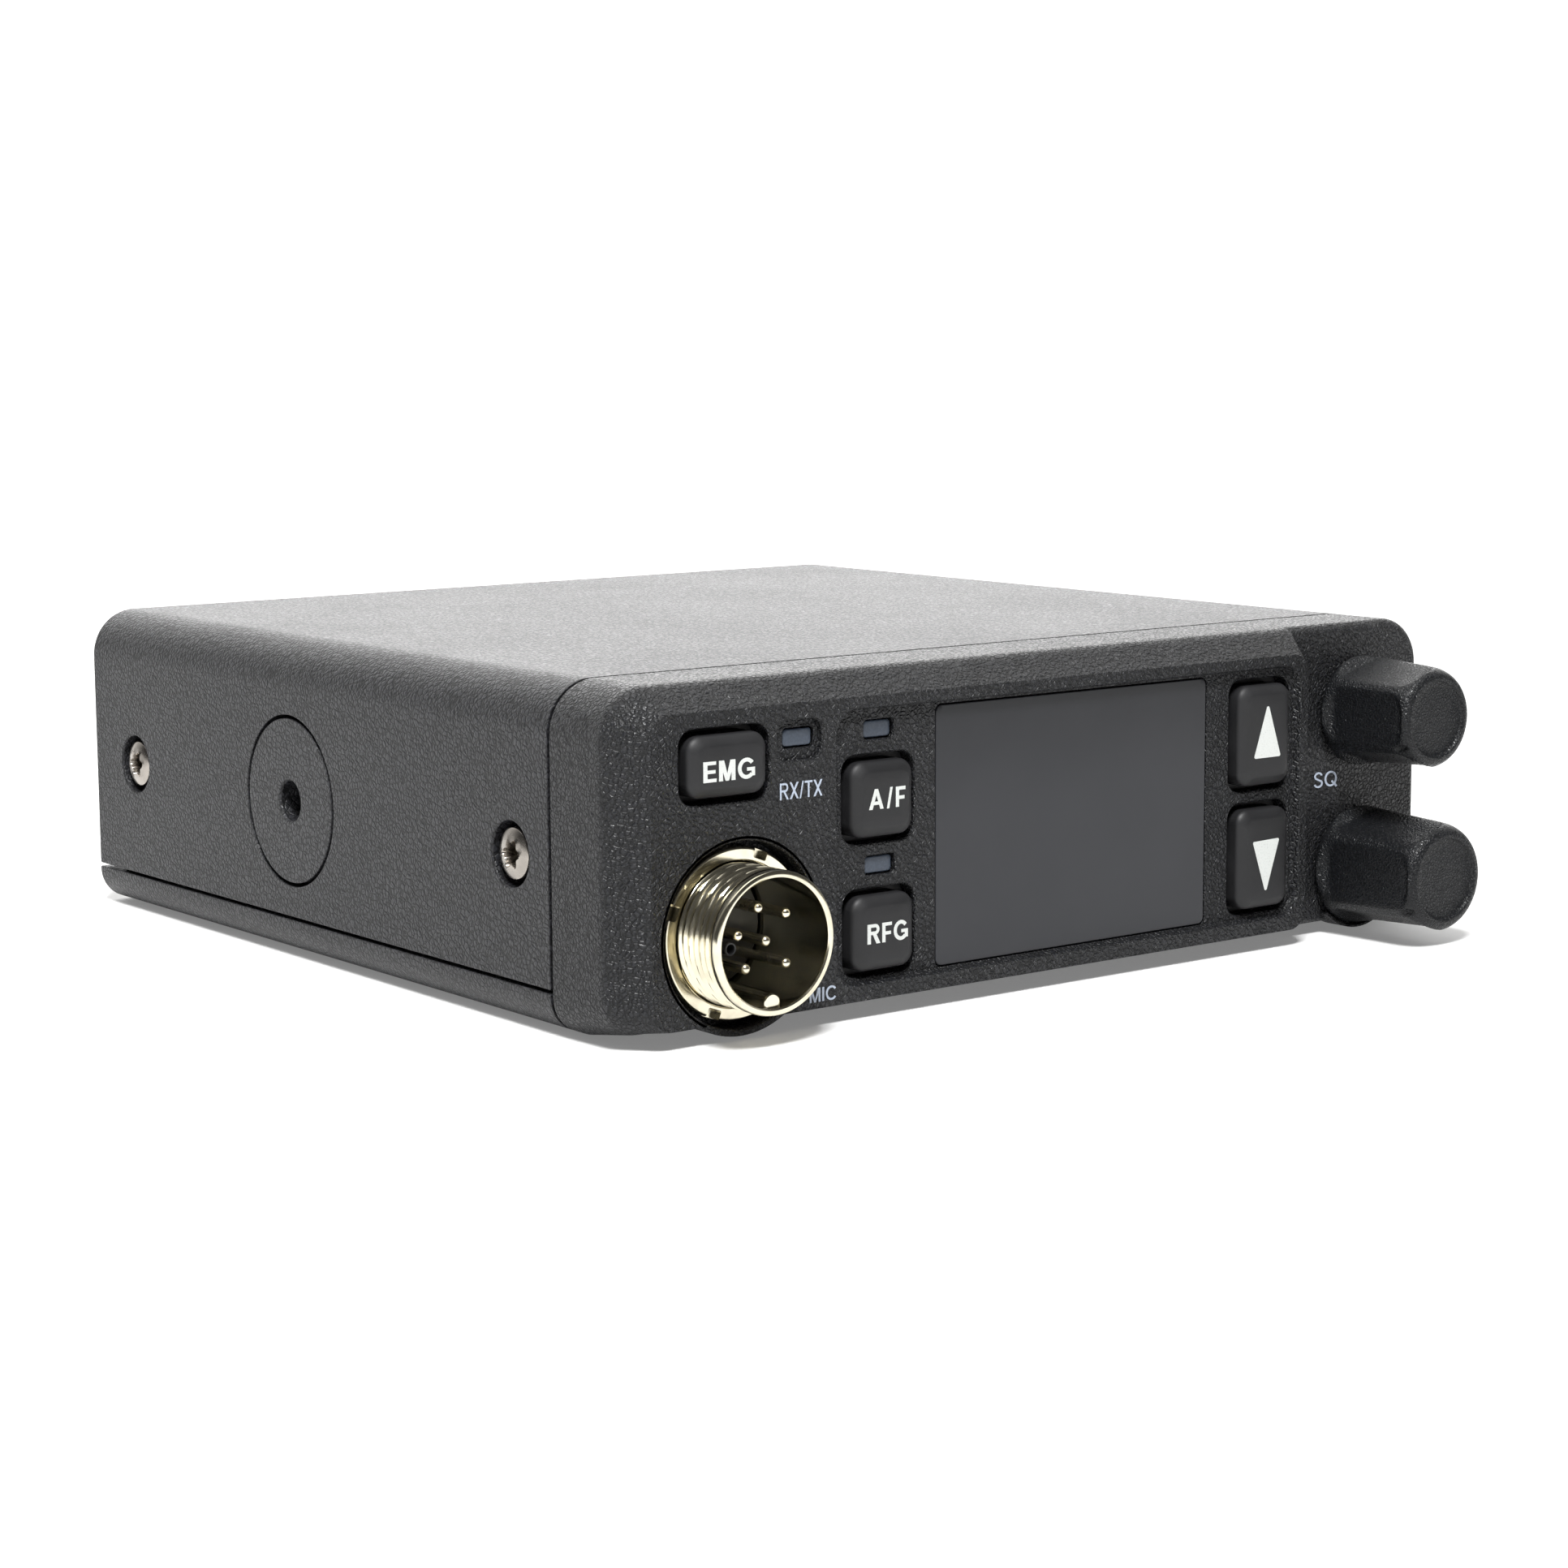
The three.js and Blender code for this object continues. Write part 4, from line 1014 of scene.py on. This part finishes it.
def make_knobs():
    for name, control in KNOBS.items():
        low, high = box_mm(name)
        loops = knob_loops((low + high) / 2, high.y, low.y, (high.z - low.z) / 2)
        piece(name + "_grip", stack(loops), "knob_plastic", [name], control, smooth=40)


# ---- microphone socket


def thread(crest, root, pitch, start, stop, step=0.08):
    """Rows of a screw thread for turned(): each a radius that winds round the axis, and a
    place. The groove runs out softly at both ends."""
    def row(y):
        ease = clamped((y - start) / 0.5) * clamped((stop - y) / 0.5)

        def radius(turn):
            phase = (y / pitch + turn / (2 * math.pi)) % 1
            return crest - 0.02 - (crest - root) * clamped(abs(phase * 2 - 1) * 1.15 - 0.1) * ease
        return radius

    places = [start + step * k for k in range(int((stop - start) / step))]
    return [(row(y), y) for y in places]


def make_mic_barrel():
    """Threaded barrel with a rounded rim, a seat flange, and a key inside."""
    back, stop = box_mm("mic_shell")[1].y, MIC_RIM + 7.4
    neck, tail, flange = MIC_CREST - 0.05, MIC_CREST - 0.1, 8.9
    barrel = turned(MIC, [
        (MIC_BORE, back), (MIC_BORE, MIC_RIM + 0.35), (MIC_BORE + 0.08, MIC_RIM + 0.12),
        (MIC_BORE + 0.25, MIC_RIM), (MIC_CREST - 0.3, MIC_RIM), (MIC_CREST - 0.1, MIC_RIM + 0.1),
        (MIC_CREST, MIC_RIM + 0.3), (MIC_CREST, MIC_RIM + 1.0),
        *thread(MIC_CREST, MIC_ROOT, MIC_PITCH, MIC_RIM + 1.15, stop),
        (neck, stop), (neck, -8.4), (flange, -8.4), (flange, -7), (tail, -7), (tail, back),
    ], 144, closed=True)
    key = turned(MIC + Vector((0, 0, 0.45 - MIC_BORE)), [
        (0.85, MIC_RIM + 0.75), (1.05, MIC_RIM + 0.85), (1.15, MIC_RIM + 1.1), (1.15, MIC_FLOOR - 0.3),
    ], 32)
    piece("mic_socket_barrel", combined(barrel, [key], "UNION"), "nickel_plate", ["mic_shell"])


def make_mic_nut():
    """Flat ring nut with four notches for a spanner."""
    low, high = box_mm("mic_lock_ring")
    radius, bore = (high.x - low.x) / 2, MIC_CREST + 0.15
    edge = [(radius - inset, low.y + depth) for inset, depth in reversed(quarter(0.3))]
    profile = [(bore, low.y + 0.2), (MIC_CREST + 0.3, low.y), *edge, (radius, high.y), (bore, high.y)]
    nut = turned(MIC, profile, 96, closed=True)
    notches = []
    for part in range(4):
        slot = prism(rounded(radius - 1.1, radius + 1, -0.9, 0.9, 0.2, 3), low.y - 1, low.y + 1)
        turn = Matrix.Rotation(-math.radians(69 + 90 * part), 4, "Y")
        slot.transform(Matrix.Translation((MIC.x, 0, MIC.z)) @ turn)
        notches.append(slot)
    piece("mic_socket_nut", combined(nut, notches), "nickel_plate", ["mic_lock_ring"])


def make_mic_insulator():
    """The socket's floor, with a hole for each pin and a hollow post."""
    low, high = box_mm("mic_insulator")
    edge = MIC_BORE - 0.18
    disc = turned(MIC, [(edge, high.y), (edge, low.y + 0.25), (edge - 0.25, low.y)], 96)
    post = turned(MIC + Vector((-4.55, 0, -0.4)), [
        (0.75, low.y + 1), (0.75, MIC_RIM + 2.2), (0.68, MIC_RIM + 2.1), (0.55, MIC_RIM + 2.15),
        (0.5, MIC_RIM + 3.6),
    ], 32)
    holes = [rod(centre_mm(name), 0.72, low.y - 1, high.y + 1, 24) for name in MIC_PINS]
    mesh = combined(combined(disc, [post], "UNION"), holes)
    piece("mic_socket_insulator", mesh, "black_plastic", ["mic_insulator"])


def make_mic_pins():
    for name in MIC_PINS:
        low, high = box_mm(name)
        r = (high.x - low.x) / 2
        turns = (0.12, 0.4, 0.75, 1.1, 1.4, math.pi / 2)
        dome = [(r * math.sin(t), low.y + r * (1 - math.cos(t))) for t in turns]
        pin = turned((low + high) / 2, [*dome, (r, high.y - 0.1), (r - 0.1, high.y)], 32)
        piece(name + "_contact", pin, "pin_metal", [name])


# ---- sides and underside


def torx(radius):
    """Six-lobed drive outline about a mean radius."""
    return lambda turn: radius * (1 + 0.17 * math.cos(6 * turn))


def make_side_screws():
    """Domed heads with a six-lobed recess, on plain shanks."""
    for name in SIDE_SCREWS:
        low, high = box_mm(name)
        top, end, inward = (low.x, high.x, 1) if "left" in name else (high.x, low.x, -1)
        head, foot = (high.z - low.z) / 2, SCREW_HEAD + 0.05
        rows = [(0.05, 1.9), (torx(1.0), 1.9), (torx(1.4), 1.7), (torx(1.46), 0.16), (torx(1.56), 0.03)]
        for k in range(1, 10):
            r = 1.95 + (head - 1.95) * k / 10
            rows.append((r, 0.5 * (r / head) ** 3))
        rows += [(head - 0.05, 0.5), (head, 0.7), (head, SCREW_HEAD), (head - 0.15, foot)]
        rows.append((SCREW_SHANK, foot))
        profile = [(radius, top + inward * depth) for radius, depth in rows]
        mesh = turned((low + high) / 2, [*profile, (SCREW_SHANK, end)], 72, "x")
        piece(name + "_torx", mesh, "screw_steel", [name], smooth=40)


def make_bottom_screws():
    """Flat countersunk heads with the same recess."""
    for name in BOTTOM_SCREWS:
        low, high = box_mm(name)
        head, z = (high.x - low.x) / 2, low.z
        mesh = turned((low + high) / 2, [
            (0.05, z + 0.75), (torx(0.8), z + 0.7), (torx(0.98), z + 0.05), (torx(1.05), z), (1.5, z),
            (head - 0.1, z), (head, z + 0.08), (head, z + 0.35), (1.5, z + 1.1), (SCREW_SHANK, high.z),
        ], 72, "z")
        piece(name + "_torx", mesh, "screw_steel", [name], smooth=40)


def make_bosses():
    """Flat discs with a softened edge and a grooved bore for the bracket's screw."""
    for name in ("bracket_boss_left", "bracket_boss_right"):
        low, high = box_mm(name)
        face, inward = (low.x, 1) if "left" in name else (high.x, -1)
        rows = [(2.85, 0), (2.68, 0.06), (2.5, 0.3)]
        groove = 2.4
        while groove < 8.6:
            rows += [(2.58, groove), (2.45, groove + 0.4)]
            groove += 0.8
        rows += [(2.5, 9), (4.5, 9), (4.5, 3.7), (BOSS_RADIUS, 3.7)]
        rows += [(BOSS_RADIUS - inset, depth) for inset, depth in quarter(0.15)]
        profile = [(radius, face + inward * depth) for radius, depth in rows]
        disc = turned((low + high) / 2, profile, 96, "x", closed=True)
        piece(name + "_disc", disc, "black_casting", [name])


# ---- rear sockets


def make_antenna_socket():
    """Flanged and threaded shell, its ring of white insulation and a slotted contact."""
    low, high = box_mm("antenna_socket")
    axis, flange, end = (low + high) / 2, (high.x - low.x) / 2, high.y
    seat = REAR_SEAT
    barrel = turned(axis, [
        (6.4, low.y), (7.85, low.y), (7.85, seat), (flange - 0.2, seat), (flange, seat + 0.2),
        (flange, seat + 1.7), (flange - 0.4, seat + 2.1), (8.3, seat + 2.1), (7.85, seat + 2.5),
        *thread(7.9, 7.35, 1.06, seat + 2.7, end - 1.0),
        (7.85, end - 0.9), (7.85, end - 0.35), (7.5, end), (6.65, end), (6.4, end - 0.3),
    ], 120, closed=True)
    piece("antenna_socket_barrel", barrel, "nickel_plate", ["antenna_socket"])

    low, high = box_mm("antenna_insulator")
    end = high.y
    insulator = turned(axis, [
        (2.2, low.y), (6.2, low.y), (6.2, end - 0.3), (5.9, end), (3.4, end), (3.2, end - 0.5),
        (2.4, end - 0.5), (2.2, end - 0.7),
    ], closed=True)
    piece("antenna_socket_insulator", insulator, "white_plastic", ["antenna_insulator"])

    low, high = box_mm("antenna_contact")
    end = high.y
    contact = turned(axis, [
        (1.4, end - 11), (1.4, end - 0.15), (1.6, end), (1.85, end), (2, end - 0.2), (2, low.y),
    ], 48)
    slots = [
        prism(around(axis, wide, tall, 0.05, 1), end - 5, end + 1) for wide, tall in ((0.4, 6), (6, 0.4))
    ]
    piece("antenna_socket_contact", combined(contact, slots), "pin_metal", ["antenna_contact"])


def make_power_socket():
    """Open rounded box with two pins."""
    low, high = box_mm("power_socket")
    middle, wide, tall, end = (low + high) / 2, high.x - low.x, high.z - low.z, high.y
    rows = [(-0.3, low.y), (0, low.y + 0.3)]
    rows += [(-inset, end - depth) for inset, depth in quarter(0.45)]
    shell = drawn(middle, wide, tall, 1.2, rows, 0.5)
    rows = ((0, end - 9), (0, end - 0.4), (0.12, end - 0.12), (0.4, end + 0.02), (0.4, end + 1))
    cavity = drawn(middle, wide - 2.4, tall - 2.4, 0.6, rows)
    profile = [(0.9, end - 9.5), (0.9, end - 1.5), (0.75, end - 1.15), (0.4, end - 1)]
    pins = [turned(middle + Vector((side, 0, 0)), profile, 32) for side in (-4.4, 4.4)]
    piece("power_socket_shell", combined(shell, [cavity]), "black_plastic", ["power_socket"],
          prints=[(pin, SLOT_MATERIALS["pin_metal"]) for pin in pins])


def make_speaker_jack():
    """Plain bush held by a hexagon nut with rounded corners."""
    low, high = box_mm("speaker_jack")
    middle, end = (low + high) / 2, high.y
    bush = turned(middle, [
        (1.8, low.y), (3.9, low.y), (3.9, end - 0.35), (3.6, end), (2.2, end), (1.8, end - 0.4),
    ], closed=True)
    across = 5.6 * math.cos(math.radians(30))

    def hexagon(corner):
        return lambda turn: min(across / math.cos(turn % (math.pi / 3) - math.pi / 6), corner)

    rows = ((5.2, 0), (5.5, 0.15), (5.58, 1.15), (5.35, 1.3), (5.1, 1.45), (4.86, 1.6))
    sides = [(hexagon(corner), REAR_SEAT + place) for corner, place in rows]
    nut = turned(middle, [(3.5, REAR_SEAT), *sides, (3.5, REAR_SEAT + 1.6)], 144, closed=True)
    piece("speaker_jack_bush", combined(bush, [nut], "UNION"), "nickel_plate", ["speaker_jack"])


def finish_cad_nodes():
    """CAD nodes that stay get their procedural material, softened edges and smooth shading."""
    slots = {entry["node"]: entry["material_slot"] for entry in frame["record"]["subparts"]}
    for name, obj in frame["nodes"].items():
        if obj.hide_render:
            continue
        material = SLOT_MATERIALS[slots[name]]
        for slot in obj.material_slots:
            slot.material = material
        if not obj.material_slots:
            obj.data.materials.append(material)
        low, high = box_mm(name)
        bevel = obj.modifiers.new("soft edges", "BEVEL")
        bevel.width = min(0.25, min(high - low) * 0.12) * MM
        bevel.segments = 3
        bevel.limit_method = "ANGLE"
        bevel.angle_limit = math.radians(40)
        bevel.harden_normals = False
        weigh_normals(obj)


# ---- camera, light and floor

LENS, SENSOR = 76.86, 36
VIEW_YAW, VIEW_PITCH, VIEW_ROLL = (math.radians(turn) for turn in (37.44, 8.19, 0.32))
CAMERA_MM = Vector((-199.17, -302.39, 79.89))

# Each light's place and target in metres, its width and height, and its power in watts.
SOFTBOXES = (
    ("key", (-0.42, -0.58, 1.08), (0, 0, 0.02), (0.3, 0.3), 26),
    ("overhead", (-0.1, 0.25, 1.2), (0, 0, 0), (1.4, 1.0), 4),
    ("rear", (0.9, 1.6, 0.45), (0, 0, 0), (1.8, 0.8), 11),
)
# The sky is brightest this way; SKY_RANGE is the span of facing over which it brightens, and
# its strength at either end. The camera sees SKY_SEEN all over.
SKY_TOWARDS = (0.45, 0.75, 0.4)
SKY_RANGE = (0.15, 0.95, 0.057, 1.52)
SKY_COLOR = (1.0, 0.995, 0.98, 1)
SKY_SEEN = 1.3
FLOOR_REACH = 30
FLOOR_GAP = 0.0003


def make_camera():
    data = bpy.data.cameras.new("camera")
    data.lens = LENS
    data.sensor_width = SENSOR
    data.clip_start = 0.01
    data.clip_end = 100
    camera = added("camera", data)
    flat = math.cos(VIEW_PITCH)
    forward = Vector((math.sin(VIEW_YAW) * flat, math.cos(VIEW_YAW) * flat, -math.sin(VIEW_PITCH)))
    level = forward.cross(Vector((0, 0, 1))).normalized()
    down = forward.cross(level)
    right = level * math.cos(VIEW_ROLL) + down * math.sin(VIEW_ROLL)
    down = down * math.cos(VIEW_ROLL) - level * math.sin(VIEW_ROLL)
    turn = Matrix((right, -down, -forward)).transposed().to_4x4()
    camera.matrix_world = Matrix.Translation(TO_ROW @ CAMERA_MM) @ turn
    bpy.context.scene.camera = camera


def softbox(name, place, target, size, power):
    data = bpy.data.lights.new(name, "AREA")
    data.shape = "RECTANGLE"
    data.size, data.size_y = size
    data.energy = power
    light = added(name, data)
    aim = Vector(target) - Vector(place)
    light.matrix_world = Matrix.Translation(place) @ aim.to_track_quat("-Z", "Y").to_matrix().to_4x4()


def make_sky():
    """Plain white to the camera; to everything else a sky that brightens smoothly towards
    the rear right, so that each side of the case takes its own tone."""
    world = bpy.data.worlds.new("studio")
    bpy.context.scene.world = world
    world.use_nodes = True
    sky = Nodes(world.node_tree)
    background = sky.tree.nodes["Background"]
    place = sky.node("TexCoord").outputs["Generated"]
    towards = Vector(SKY_TOWARDS).normalized()
    facing = sky.node("VectorMath", {"operation": "DOT_PRODUCT"}, i0=place, i1=towards)
    glow = sky.ramp(facing.outputs["Value"], *SKY_RANGE)
    from_camera = sky.node("LightPath").outputs["Is Camera Ray"]
    seen = sky.node("Mix", Factor=from_camera, i2=glow, i3=SKY_SEEN)
    sky.feed(background.inputs["Color"], SKY_COLOR)
    sky.feed(background.inputs["Strength"], seen.outputs[0])


def make_floor():
    """White paper under the case, which glows more with distance to meet the sky."""
    mesh = bpy.data.meshes.new("floor")
    corners = [(x * FLOOR_REACH, y * FLOOR_REACH, 0) for x, y in ((-1, -1), (1, -1), (1, 1), (-1, 1))]
    mesh.from_pydata(corners, [], [(0, 1, 2, 3)])
    floor = added("floor", mesh)
    floor.location.z = cad_bounds[0][2] - FLOOR_GAP
    surface = Surface("floor_paper", (0.7, 0.7, 0.696), 0.8)
    fibres = surface.noise(0.8, 4.0)
    surface.relief(fibres, 0.02)
    surface.tint(surface.ramp(fibres, 0.3, 0.7), 0.985)
    mesh.materials.append(surface.material)
    behind = surface.node("SeparateXYZ", Vector=surface.place).outputs["Y"]
    surface.set("Emission Color", (1, 1, 1, 1))
    surface.set("Emission Strength", surface.ramp(behind, 100, 900, 0.2, 1.0))


make_top_cover()
make_bottom_cover()
make_bezel()
make_buttons()
make_window_and_lights()
make_knobs()
make_mic_barrel()
make_mic_nut()
make_mic_insulator()
make_mic_pins()
make_side_screws()
make_bottom_screws()
make_bosses()
make_antenna_socket()
make_power_socket()
make_speaker_jack()
finish_cad_nodes()
make_camera()
bpy.context.scene.view_settings.view_transform = "Standard"
make_sky()
make_floor()
for box in SOFTBOXES:
    softbox(*box)
